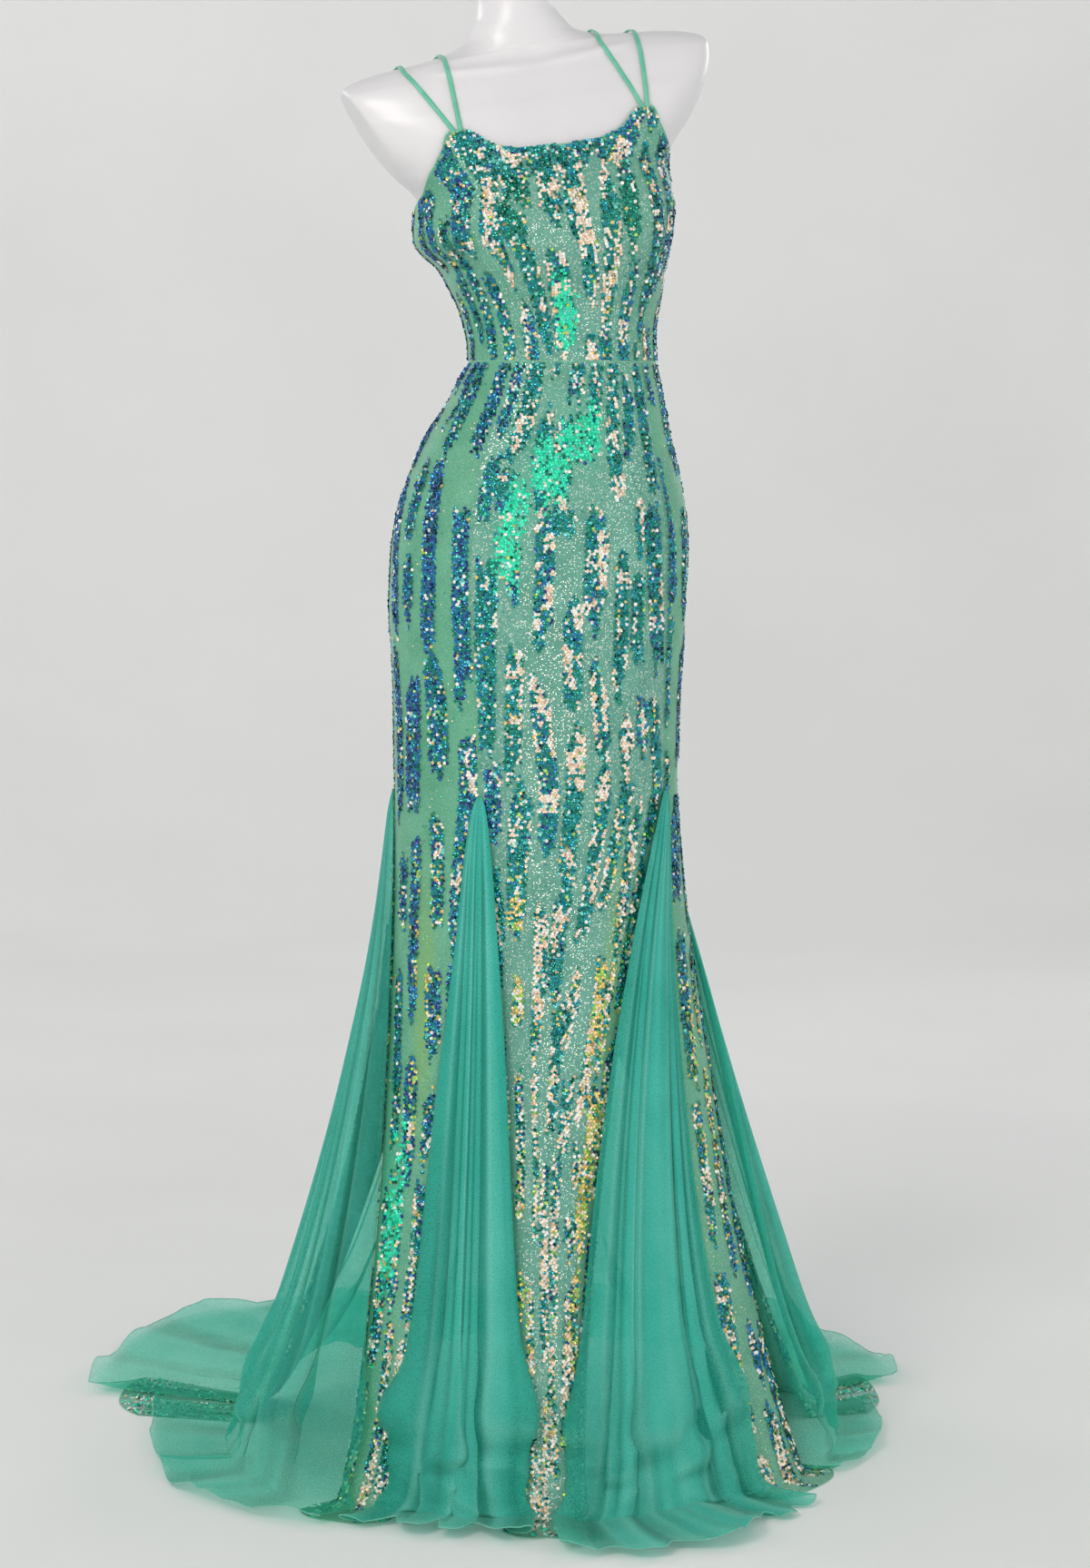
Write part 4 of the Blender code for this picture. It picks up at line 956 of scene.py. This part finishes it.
def streak_of(rng, streaks, grain, drop, breadth):
    """The streak that each place belongs to, or -1. Its strings of sequins end at uneven heights, like flames."""
    short, random = STREAK_TIPS
    found = np.full(grain.shape, -1)
    for i, streak in enumerate(streaks):
        sway = STREAK_SWAY * np.sin(drop / STREAK_SWAY_LENGTH + streak.phase)
        string = np.clip(np.round((grain - streak.centre - sway) / SPACING).astype(int), -6, 6)
        edge = np.abs(string * SPACING) / (streak.half_width * breadth)
        ragged = rng.random((2, 14))
        ragged = (ragged[:, 1:] + ragged[:, :-1]) / 2
        starts = streak.top + short * edge**2 + random * ragged[0][string + 6]
        stops = streak.end - short * 1.5 * edge**2 - 1.4 * random * ragged[1][string + 6]
        found[(edge <= 1.05) & (drop > starts) & (drop < stops)] = i
    return found


def flash_share(flashes, grain, drop, tones):
    """How far each place is inside the patches of these tones, from 0 to 1."""
    share = np.zeros_like(grain)
    for from_middle, from_top, half_width, half_length, tone in flashes:
        if tone in tones:
            away = ((grain - from_middle) / half_width) ** 2 + ((drop - from_top) / half_length) ** 2
            share = np.maximum(share, np.exp(-(away**1.5)))
    return share


def choose_tones(rng, streak, grain, drop, side, low, flashes):
    """A tone for every sequin: by its streak, by soft patches of painted glints and reflections, and a little by
    chance.
    """
    count = len(streak)

    def chance(share):
        return rng.random(count) < share

    base_pick = rng.random(streak.max() + 2)[streak]
    warm_pick = rng.random(streak.max() + 2)[streak]
    bluish = chance(np.clip((side**2 * 0.95 + 0.75 * (base_pick - 0.45)) * (1 - 0.70 * low), 0.0, 1.0))
    tones = np.where(bluish, BLUE, TEAL)
    tones = np.where(bluish & chance(0.42), NAVY, tones)
    tones = np.where((tones == TEAL) & chance(0.45), DEEP_GREEN, tones)
    tones = np.where(chance(0.05), AQUA, tones)
    # Painted glints in rose, peach and white-pink: in soft patches, more lower down and on the floor, fewer at the
    # sides
    painted_glint_share = sum(share * smooth_noise(grain / wide, drop / high, seed) for share, wide, high, seed in PATCHES)
    painted_glint_share = painted_glint_share + 0.12 * smoothstep((drop - FLOOR_DROP) / 0.06) + 0.20 * low + 0.16 * warm_pick
    lit = painted_glint_share + 0.14 - 0.50 * side**2 * (1 - 0.7 * low) > LIT_LEVEL
    pick = rng.random(count)
    bright = np.select([pick < 0.16, pick < 0.62], [ROSE, PEACH], WHITE_PINK)
    tones = np.where(lit & chance(0.82), bright, tones)
    # Painted reflections: mostly emerald inside the emerald patches
    foil = rng.choice([EMERALD] * 7 + [AQUA, DEEP_GREEN], count)
    tones = np.where(chance(1.3 * flash_share(flashes, grain, drop, [EMERALD])), foil, tones)
    # Painted reflections in deep green and blue, fewer among the painted glints
    for tone in (DEEP_GREEN, BLUE):
        share = flash_share(flashes, grain, drop, [tone])
        tones = np.where(chance(1.25 * share * np.where(lit, 0.6, 1.0)), tone, tones)
    # Painted reflections in gold and lime, and some more lower down
    golden = np.where(chance(0.55), GOLD, LIME)
    tones = np.where(chance(0.65 * (flash_share(flashes, grain, drop, [LIME, GOLD]) + 0.12 * low)), golden, tones)
    # A few painted white-pink glints anywhere
    tones = np.where(chance(0.05), WHITE_PINK, tones)
    # Painted glints on the floor, in aqua, white-pink and emerald
    shining = chance(TRAIN_SHINE * smoothstep((drop - TRAIN_DROP) / 0.05))
    return np.where(shining, rng.choice([AQUA, WHITE_PINK, AQUA, EMERALD], count), tones)


def make_sequins(name, rng, points, normals, sides, tones, radii, tilt):
    """Cupped six-sided discs, tilted a little each its own way, with the tone of each in its material."""
    count = len(points)
    up = unit(np.cross(sides, normals))
    lean = rng.normal(0.0, 1.0, (2, count, 1)) * tilt[:, None]
    faces_way = unit(normals + sides * lean[0] + up * lean[1])
    right = unit(np.cross(up, faces_way))
    up = np.cross(faces_way, right)
    spin = rng.uniform(0.0, math.pi / 3, (count, 1)) + np.arange(6) * math.pi / 3
    middle = points + normals * rng.uniform(*SEQUIN_LIFTS, (count, 1))
    flat = right[:, None] * np.cos(spin)[..., None] + up[:, None] * np.sin(spin)[..., None]
    rim = middle[:, None] + flat * radii[:, None, None]
    bowl = middle - faces_way * (SEQUIN_CUP * radii)[:, None]
    corners = np.concatenate([bowl[:, None], rim], axis=1).reshape(-1, 3)
    corners[:, 2] = np.maximum(corners[:, 2], SEQUIN_FLOOR)
    first, around = (np.arange(count) * 7)[:, None], np.arange(6)[None, :]
    faces = np.stack([first + 0 * around, first + 1 + around, first + 1 + (around + 1) % 6], axis=-1).reshape(-1, 3)
    return make_mesh(name, corners, [faces], tone_materials, np.repeat(tones, 6), sharp_angle=None)


def cover_with_sequins(name, surface, sites, side, grain_width, seed, low_range, edge_row=None):
    """All the sequins of one cloth: the streaks, close rows along an edge, and tiny ones between the streaks."""
    rng = np.random.default_rng(seed)
    flashes = FLASHES.get(name, [])
    across, down, width, drop = sites
    grain = (across - 0.5) * np.maximum(width, grain_width)
    column = STREAK_COLUMN * (1 + SIDE_SPREAD * np.mean(side**2))
    breadth = np.ones_like(drop)
    if edge_row is not None:
        column *= BODICE_CLOSENESS
        breadth += BUST_BREADTH * (1 - smoothstep(drop / BUST_DROP))
    streaks = make_streaks(rng, grain.max() - grain.min() + 0.01, drop.max(), column)
    streak = streak_of(rng, streaks, grain, drop, breadth)
    low = np.clip((drop - low_range[0]) / (low_range[1] - low_range[0]), 0.0, 1.0)
    on_edge = np.zeros(len(grain), bool) if edge_row is None else edge_row & (rng.random(len(grain)) < 0.94)
    scattered = (streak < 0) & ~on_edge & (rng.random(len(grain)) < SCATTER * (1.15 - side**2))
    # every place well inside an emerald painted reflection holds a sequin
    flashing = flash_share(flashes, grain, drop, [EMERALD]) * rng.uniform(0.3, 1.3, len(grain)) > 0.55
    scattered &= ~flashing
    kept = (streak >= 0) | scattered | on_edge | flashing
    across, down, streak, grain, drop, side, low, scattered, on_edge = (
        numbers[kept] for numbers in (across, down, streak, grain, drop, side, low, scattered, on_edge)
    )
    tones = choose_tones(rng, streak, grain, drop, side, low, flashes)
    specks = rng.choice([WHITE_PINK, PEACH, AQUA, TEAL, AQUA], len(tones))
    beads = rng.choice([BLUE, TEAL, DEEP_GREEN, TEAL, AQUA], len(tones))
    tones = np.where(on_edge & (rng.random(len(tones)) < 0.85), beads, np.where(scattered, specks, tones))
    radii = np.where(scattered, SPECK_RADIUS, SEQUIN_RADIUS * rng.uniform(0.88, 1.08, len(tones)))
    points, normals, sides = face_of(surface, across, down)
    points = points + sides * rng.normal(0.0, 0.0003, (len(points), 1))
    tilt = SEQUIN_TILT + (FLOOR_TILT - SEQUIN_TILT) * smoothstep(normals[:, 2] * 1.4)
    return make_sequins("sequins_" + name, rng, points, normals, sides, tones, radii, tilt)


# Finishes


class Finish:
    """A material and its nodes. Every input is a plain value or the output of another node."""

    def __init__(self, name, **values):
        self.material = bpy.data.materials.new(name)
        self.material.use_nodes = True
        self.tree = self.material.node_tree
        self.shader = self.tree.nodes["Principled BSDF"]
        self.shade(**values)

    @cached_property
    def where(self):
        return self.node("TexCoord").outputs["Object"]

    def feed(self, node, inputs):
        for key, value in inputs.items():
            if isinstance(value, bpy.types.NodeSocket):
                self.tree.links.new(value, node.inputs[key])
            else:
                node.inputs[key].default_value = value
        return node

    def node(self, kind, inputs=None, **settings):
        made = self.tree.nodes.new("ShaderNode" + kind)
        for key, value in settings.items():
            setattr(made, key, value)
        return self.feed(made, inputs or {})

    def shade(self, **inputs):
        """Feeds the main shader. An input's name is in small letters, with _ for a space."""
        self.feed(self.shader, {key.replace("_", " ").title(): value for key, value in inputs.items()})

    def show(self, surface):
        self.feed(self.tree.nodes["Material Output"], {"Surface": surface})

    def noise(self, scale, detail=2.0):
        return self.node("TexNoise", {"Vector": self.where, "Scale": scale, "Detail": detail}).outputs["Fac"]

    def cells(self, scale, **settings):
        return self.node("TexVoronoi", {"Vector": self.where, "Scale": scale}, **settings).outputs

    def ramp(self, value, *stops):
        """Colours blended along a value. Stops are (place, colour)."""
        made = self.node("ValToRGB", {"Fac": value})
        while len(made.color_ramp.elements) < len(stops):
            made.color_ramp.elements.new(0.5)
        for element, (place, colour) in zip(made.color_ramp.elements, stops):
            element.position = place
            element.color = (*colour, 1.0)
        return made.outputs["Color"]

    def mottle(self, scale, dark, light):
        """Soft patches of two colours."""
        return self.ramp(self.noise(scale), (0.3, dark), (0.7, light))

    def mix(self, share, first, second):
        colours = {6: first, 7: second}
        inputs = {key: (*value, 1.0) if isinstance(value, tuple) else value for key, value in colours.items()}
        return self.node("Mix", {0: share, **inputs}, data_type="RGBA").outputs[2]

    def maths(self, operation, *values):
        return self.node("Math", dict(enumerate(values)), operation=operation).outputs[0]

    def add(self, first, second):
        return self.maths("ADD", first, second)

    def times(self, first, second):
        return self.maths("MULTIPLY", first, second)

    def less(self, first, second):
        return self.maths("SUBTRACT", first, second)

    def bump(self, height, strength, distance):
        inputs = {"Height": height, "Strength": strength, "Distance": distance}
        self.shade(normal=self.node("Bump", inputs).outputs[0])

    def attribute(self, name):
        return self.node("Attribute", attribute_name=name).outputs["Fac"]


def sequin_ground_finish():
    """Fine green mesh, smooth at the sides and dusted with tiny bright foils towards the middle."""
    made = Finish("sequin_ground", roughness=0.42, sheen_weight=0.25, sheen_roughness=0.4)
    cells = made.cells(620.0)
    dots = made.maths("LESS_THAN", cells["Distance"], 0.42)
    split = made.node("SeparateColor", {"Color": cells["Color"]}).outputs
    foil = made.times(made.times(dots, made.maths("GREATER_THAN", split[0], 0.72)), made.attribute("glitter"))
    grain = made.node("SeparateColor", {"Color": made.cells(1000.0)["Color"]}).outputs[0]
    soft = made.add(made.times(grain, 0.5), made.noise(26.0))
    smooth_green = made.ramp(soft, (0.4, (0.078, 0.345, 0.190)), (1.0, (0.140, 0.470, 0.285)))
    dusted_green = made.ramp(soft, (0.4, (0.075, 0.300, 0.225)), (1.0, (0.160, 0.430, 0.330)))
    ground = made.mix(made.attribute("glitter"), smooth_green, dusted_green)
    # Painted reflections: lime and emerald patches where the foils are shown catching the light
    ground = made.mix(made.times(made.attribute("lime"), 0.5), ground, (0.260, 0.470, 0.090))
    ground = made.mix(made.times(made.attribute("emerald"), 0.45), ground, (0.020, 0.560, 0.340))
    foils = made.ramp(split[1], (0.0, (0.75, 0.95, 0.85)), (0.5, (1.0, 0.85, 0.75)), (1.0, (0.45, 0.85, 0.75)))
    made.shade(base_color=made.mix(foil, ground, foils), metallic=made.times(foil, 0.6))
    made.shade(roughness=made.less(0.5, made.times(foil, 0.3)))
    made.bump(made.cells(900.0)["Distance"], 0.35, 0.0004)
    return made.material


def net_finish():
    """Soft tulle: see-through by its density, with painted highlights on its folds and painted shade in its creases.
    """
    made = Finish("green_net", roughness=0.95, sheen_weight=0.6, sheen_roughness=0.35)
    made.shade(sheen_tint=(0.75, 1.0, 0.92, 1.0))
    made.feed(made.shader, {"Specular IOR Level": 0.08})
    body = made.ramp(made.noise(9.0, 3.0), (0.25, (0.060, 0.600, 0.500)), (0.75, (0.125, 0.720, 0.620)))
    # Painted highlight where the folds turn over, then painted shade in their valleys, creases and dents
    body = made.mix(made.times(made.attribute("shoulder"), 0.6), body, (0.340, 0.890, 0.790))
    colour = made.mix(made.times(made.attribute("valley"), 0.85), body, (0.002, 0.260, 0.190))
    made.shade(base_color=colour)
    made.bump(made.cells(800.0, feature="DISTANCE_TO_EDGE")["Distance"], 0.25, 0.0003)
    through = made.node("BsdfTranslucent", {"Color": colour}).outputs[0]
    cloth = made.node("MixShader", {0: 0.32, 1: made.shader.outputs[0], 2: through}).outputs[0]
    clear = made.node("BsdfTransparent", {"Color": (0.80, 0.97, 0.92, 1.0)}).outputs[0]
    patchy = made.times(made.less(made.noise(22.0), 0.5), 0.22)
    holes = made.times(made.less(0.45, made.cells(850.0)["Distance"]), 0.45)
    share = made.add(made.add(made.attribute("cover"), patchy), holes)
    share = made.node("Clamp", {"Value": share}).outputs[0]
    made.show(made.node("MixShader", {0: share, 1: clear, 2: cloth}).outputs[0])
    return made.material


def hem_finish():
    """The net's rolled edge, two layers of it stitched together, so lighter and closer."""
    made = Finish("net_hem", roughness=0.55, sheen_weight=0.3)
    made.shade(base_color=made.mottle(300.0, (0.10, 0.46, 0.34), (0.20, 0.60, 0.47)))
    made.bump(made.noise(1500.0), 0.4, 0.0003)
    return made.material


def satin_finish(name, dark, light):
    """Satin rouleau: soft sheen with the fine slant of its weave."""
    made = Finish(name, roughness=0.38, sheen_weight=0.3, coat_weight=0.1)
    made.shade(base_color=made.mottle(60.0, dark, light))
    weave = {"Vector": made.where, "Scale": 420.0, "Distortion": 1.0}
    made.bump(made.node("TexWave", weave, bands_direction="DIAGONAL").outputs["Fac"], 0.3, 0.0003)
    return made.material


def form_finish():
    """Moulded white plastic with a soft polish and a very slight orange peel."""
    made = Finish("white_form", coat_weight=0.25, coat_roughness=0.2)
    made.shade(base_color=made.mottle(5.0, (0.770, 0.750, 0.775), (0.820, 0.800, 0.820)))
    made.shade(roughness=made.add(0.30, made.times(made.noise(35.0), 0.12)))
    made.bump(made.noise(140.0), 0.06, 0.001)
    return made.material


def steel_finish():
    """Brushed steel, its marks running round."""
    made = Finish("stand_steel", metallic=1.0)
    made.where = made.node("VectorMath", {0: made.where, 1: (12.0, 12.0, 900.0)}, operation="MULTIPLY").outputs[0]
    marks = made.noise(1.0, 4.0)
    made.shade(base_color=made.ramp(marks, (0.3, (0.50, 0.50, 0.52)), (0.7, (0.66, 0.66, 0.68))))
    made.shade(roughness=made.add(0.24, made.times(marks, 0.2)))
    made.bump(marks, 0.15, 0.0004)
    return made.material


def tone_finish(name, colour, metallic):
    """A sequin's tone, with a clear coat over its foil."""
    look = {"roughness": 0.2, "coat_weight": 0.4, "coat_roughness": 0.06}
    return Finish("sequin_" + name, base_color=(*colour, 1.0), metallic=metallic, **look).material


# Trim, straps and form


def make_hem(name, points, normals, finish):
    """The rolled hem along the last row of a sheet, a little above the floor."""
    line = points[-1].copy()
    line[:, 2] = np.maximum(line[:, 2], HEM_ROLL + ROLL_FLOOR)
    roll = make_tube("hem_" + name, line, normals[-1], HEM_ROLL, HEM_ROLL, HEM_SIDES, finish)
    return roll


def body_line(turned, height, standoff):
    """Points round the body off the form, with the outward ways."""
    angle = turned + yaw_at(height)
    points = body_point(angle, height, standoff)
    return points, unit(points - body_point(angle, height, 0.0))


def form_ring(height):
    """A level ring of the form, cut off flat where an arm would join."""
    ring = bare_point(np.arange(FORM_COLUMNS) * 360 / FORM_COLUMNS, np.full(FORM_COLUMNS, height))
    axis_x, _, tilt = body_frame(height)
    from_axis = (ring[:, 0] - axis_x) / math.cos(tilt)
    front = smoothstep(-ring[:, 1] / FRONT_FADE)
    for bone in COLLARBONES:
        along = (bone.side * from_axis - bone.inner) / (bone.outer - bone.inner)
        line = bone.inner_height + (bone.outer_height - bone.inner_height) * np.clip(along, 0.0, 1.0)
        ridge = np.exp(-(((height - line) / COLLARBONE_WIDTH) ** 2))
        ring[:, 1] -= COLLARBONE_RISE * front * ridge * smoothstep(along / 0.15 + 1) * smoothstep((1 - along) / 0.3)
    notch = np.exp(-((from_axis - THROAT[0]) ** 2 + (height - THROAT[1]) ** 2) / THROAT_SIZE**2)
    ring[:, 1] += THROAT_DEPTH * front * notch
    if height > ARM_CUT_START:
        for cut in ARM_CUTS:
            face = abs(cut.x) + (ring[:, 2] - cut.height) * math.tan(math.radians(cut.slope))
            inside = (face - cut.side * ring[:, 0]) / ARM_CUT_EDGE
            ring[:, 0] = cut.side * (face - ARM_CUT_EDGE * np.logaddexp(0.0, inside))
    return ring


def make_form(finish):
    """The torso in fine rings, with a rounded bottom and a neck that is cut flat, and a tree to find it by."""
    steps = np.arange((len(FORM_HEIGHTS) - 1) * FORM_STEPS + 1) / FORM_STEPS
    rings = [form_ring(height) for height in np.interp(steps, np.arange(len(FORM_HEIGHTS)), FORM_HEIGHTS)]
    middle = rings[-1].mean(axis=0)
    rings[-1] = middle + (rings[-1] - middle) * NECK_EDGE
    rings[:0] = [rings[0] * [share, share, 0.0] + [0.0, 0.0, FORM_BOTTOM + rise] for rise, share in FORM_UNDERSIDE]
    points, faces = np.concatenate(rings), ring_faces(len(rings), FORM_COLUMNS)
    form = make_mesh("form_shell", points, faces, [finish], sharp_angle=45.0)
    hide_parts("form_torso")
    return form, BVHTree.FromPolygons(*as_lists(points, faces))


def strap_end(side, angle):
    """Where a strap meets the bodice's top edge: the point, the outward direction and the way up."""
    height = top_edge_at(abs(angle)) + SEAM_GAP
    turned = side * angle + yaw_at(height)
    point = body_point(turned, height, CLOTH_STANDOFF - SEQUIN_CLOTH / 2)
    outward_way = unit(point - body_point(turned, height, 0.0))
    edge_way = body_point(turned + 0.5, height) - body_point(turned - 0.5, height)
    return point, outward_way, unit(np.cross(outward_way, edge_way))


def strap_line(strap, form):
    """Points along the strap over the form's shoulder, with the outward direction at each."""
    start, start_out, start_up = strap_end(strap.side, STRAP_FRONT + strap.front_offset)
    end, end_out, end_up = strap_end(strap.side, STRAP_BACK + strap.back_offset)
    axis_x, axis_z, tilt = body_frame(SHOULDER_HEIGHT)
    crest_x = axis_x + strap.side * strap.crest * math.cos(tilt)
    crest_z = axis_z + strap.side * strap.crest * math.sin(tilt)
    points, outs = [start - start_up * STRAP_TUCK, start], [start_out, start_out]
    for share in np.linspace(0.0, 1.0, STRAP_STATIONS):
        turn = math.radians(STRAP_SWEEP[0] + (STRAP_SWEEP[1] - STRAP_SWEEP[0]) * share)
        away = Vector((0.0, -math.cos(turn), math.sin(turn)))
        low = start if share < 0.5 else end
        x = crest_x
        for _ in range(3):
            hit, normal, _, _ = form.ray_cast(Vector((x, 0.0, crest_z - STRAP_HUB_DROP)) + away * 0.5, -away)
            x = crest_x + (low[0] - crest_x) * np.clip((crest_z - hit.z) / (crest_z - low[2]), 0.0, 1.0)
        if hit.z > low[2] + STRAP_FREE:
            points.append(np.array(hit + normal * (STRAP_THICKNESS / 2 + STRAP_CLEARANCE)))
            outs.append(np.array(normal))
    points, outs = np.array(points + [end, end - end_up * STRAP_TUCK]), np.array(outs + [end_out, end_out])
    for _ in range(3):
        points[2:-2] = (points[1:-3] + 2 * points[2:-2] + points[3:-1]) / 4
        outs[1:-1] = unit(outs[:-2] + 2 * outs[1:-1] + outs[2:])
    return points, outs


# Studio


def make_camera():
    camera = add_object("camera", bpy.data.cameras.new("camera"))
    camera.data.lens = CAMERA_LENS
    camera.data.sensor_width = 36.0
    right = Vector((math.cos(CAMERA_AZIMUTH), math.sin(CAMERA_AZIMUTH), 0.0))
    ahead = Vector((-math.sin(CAMERA_AZIMUTH), math.cos(CAMERA_AZIMUTH), 0.0))
    camera.location = right * CAMERA_SIDE_STEP - ahead * CAMERA_DISTANCE + Vector((0.0, 0.0, CAMERA_HEIGHT))
    camera.rotation_euler = (math.pi / 2 - CAMERA_PITCH, 0.0, CAMERA_AZIMUTH)
    bpy.context.scene.camera = camera


def make_backdrop():
    """A pale floor that curves up into a wall all round, see-through from behind for a camera outside it."""
    made = Finish("studio_floor", roughness=0.85)
    made.feed(made.shader, {"Specular IOR Level": 0.0})
    made.shade(base_color=made.mottle(1.5, (0.88, 0.88, 0.87), (0.91, 0.91, 0.90)))
    behind, clear = made.node("NewGeometry").outputs["Backfacing"], made.node("BsdfTransparent").outputs[0]
    made.show(made.node("MixShader", {0: behind, 1: made.shader.outputs[0], 2: clear}).outputs[0])
    turns = np.radians(np.linspace(0.0, 90.0, 16))
    wall = FLOOR_RADIUS + WALL_CURVE
    radii = np.concatenate([[0.02, 1.0, 2.0, 3.0], FLOOR_RADIUS + WALL_CURVE * np.sin(turns), [wall]])
    heights = np.concatenate([[0.0] * 4, WALL_CURVE * (1 - np.cos(turns)), [WALL_HEIGHT]])
    points = sideways(np.arange(BACKDROP_SIDES) * 360 / BACKDROP_SIDES) * radii[:, None, None]
    points[..., 2] = heights[:, None]
    walls, middle, _ = ring_faces(len(radii), BACKDROP_SIDES)
    faces = [walls[:, [0, 3, 2, 1]], middle[:, ::-1]]
    add_object("studio_floor", plain_mesh("studio_floor", points.reshape(-1, 3), faces, [made.material]))


def wall_light(turn):
    """A soft light that faces the wall, so that it is as pale as the floor."""
    x, y, _ = outward(turn)
    place, aim = (3.0 * x, 3.0 * y, 4.6), (6.8 * x, 6.8 * y, 3.4)
    return Light(f"wall_{turn}", place, aim, 1.6, WALL_WATTS, (1.0, 1.0, 1.0))


def make_light(light):
    lamp = bpy.data.lights.new(light.name, "AREA")
    lamp.size, lamp.energy, lamp.color = light.size, light.watts, light.colour
    obj = add_object(light.name, lamp)
    obj.location = light.place
    obj.rotation_euler = (Vector(light.aim) - Vector(light.place)).to_track_quat("-Z", "Y").to_euler()
    obj.visible_camera = False


def make_world():
    world = bpy.data.worlds.new("studio_light")
    world.use_nodes = True
    world.node_tree.nodes["Background"].inputs["Color"].default_value = (0.95, 0.98, 1.0, 1.0)
    world.node_tree.nodes["Background"].inputs["Strength"].default_value = WORLD_STRENGTH
    bpy.context.scene.world = world


make_camera()
make_backdrop()
make_world()
for light in [wall_light(turn) for turn in WALL_TURNS] + LIGHTS:
    make_light(light)

tone_materials = [tone_finish(*tone) for tone in TONES]
ground = sequin_ground_finish()
net = net_finish()
hem = hem_finish()
edging = satin_finish("edge_fold", (0.20, 0.56, 0.38), (0.28, 0.64, 0.46))
rouleau = satin_finish("green_rouleau", (0.10, 0.50, 0.33), (0.17, 0.60, 0.42))
steel = steel_finish()

form, form_tree = make_form(form_finish())
for strap in STRAPS:
    line, outs = strap_line(strap, form_tree)
    sizes = STRAP_WIDTH / 2, STRAP_THICKNESS / 2, STRAP_SIDES
    band = make_tube(strap.name + "_satin", line, outs, *sizes, rouleau)
    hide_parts(strap.name)
for name in ("form_pole", "form_base"):
    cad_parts[name].material_slots[0].material = steel

for seed, (name, start, end, flat) in enumerate(BODICE_PIECES):
    cloth = make_bodice_piece(name, start, end, ground)
    by_height = bodice_surface(start, end, level_rows=True)
    sites = spread_sites(by_height, 0.0, 1.0)
    turned, height = start + (end - start) * sites[0], TOP + (WAIST - TOP) * sites[1]
    below_edge = top_edge_at(np.abs(wrapped(turned))) - height
    in_front = np.abs(turned) < EDGE_ROW_ANGLE
    inside = (below_edge > np.where(in_front, FRONT_INSET, EDGE_INSET)) & (height > WAIST + EDGE_INSET)
    edge_row = ((below_edge < EDGE_ROW) & in_front)[inside]
    sites = [numbers[inside] for numbers in sites]
    side = np.abs(np.sin(np.radians(turned[inside])))
    grain_width = BODICE_GRAIN * (end - start) / 180
    seed += BODICE_SEED
    sequins = cover_with_sequins(name, by_height, sites, side, grain_width, seed, BODICE_LOW, edge_row)

sheets = []
for seed, panel in enumerate(PANELS):
    cloth, points, normals = make_skirt_panel(panel, ground)
    sheets.append(points)
    surface = panel_surface(panel)
    knee_width = run_lengths(surface(np.linspace(0, 1, 60), np.zeros(60)), 0)[-1]
    sites = spread_sites(surface, -1.0, 1.0)
    side = np.abs(np.sin(np.radians(panel_angle(panel, sites[0]))))
    sequins = cover_with_sequins(panel.name, surface, sites, side, knee_width, SKIRT_SEED + seed, SKIRT_LOW)
    roll = make_hem(panel.name, points, normals, edging)

firsts = np.cumsum([0] + [sheet.shape[0] * sheet.shape[1] for sheet in sheets])
sheet_faces = [grid_faces(*sheet.shape[:2], first) for sheet, first in zip(sheets, firsts)]
sheet_points = np.concatenate([sheet.reshape(-1, 3) for sheet in sheets])
panel_tree = BVHTree.FromPolygons(*as_lists(sheet_points, sheet_faces))
for godet in GODETS:
    veil, points, normals = make_net_godet(godet, panel_tree, net)
    roll = make_hem(godet.name, points, normals, hem)

turned = np.linspace(0.0, 360.0, CORD_STEPS, endpoint=False)
line, outs = body_line(turned, np.full(CORD_STEPS, WAIST), CLOTH_STANDOFF + WAIST_CORD * 0.3)
cord = make_tube("waist_seam", line, outs, WAIST_CORD, WAIST_CORD, CORD_SIDES, edging, closed=True)
turned = np.linspace(-EDGE_END, EDGE_END, EDGE_STEPS)
line, outs = body_line(turned, top_edge_at(np.abs(wrapped(turned))), CLOTH_STANDOFF - SHEET_THICKNESS / 2)
fold = make_tube("top_edge_fold", line, outs, EDGE_CORD, EDGE_CORD, CORD_SIDES, edging)

scene = bpy.context.scene
scene.cycles.transparent_max_bounces = 40
scene.view_settings.view_transform = "Standard"
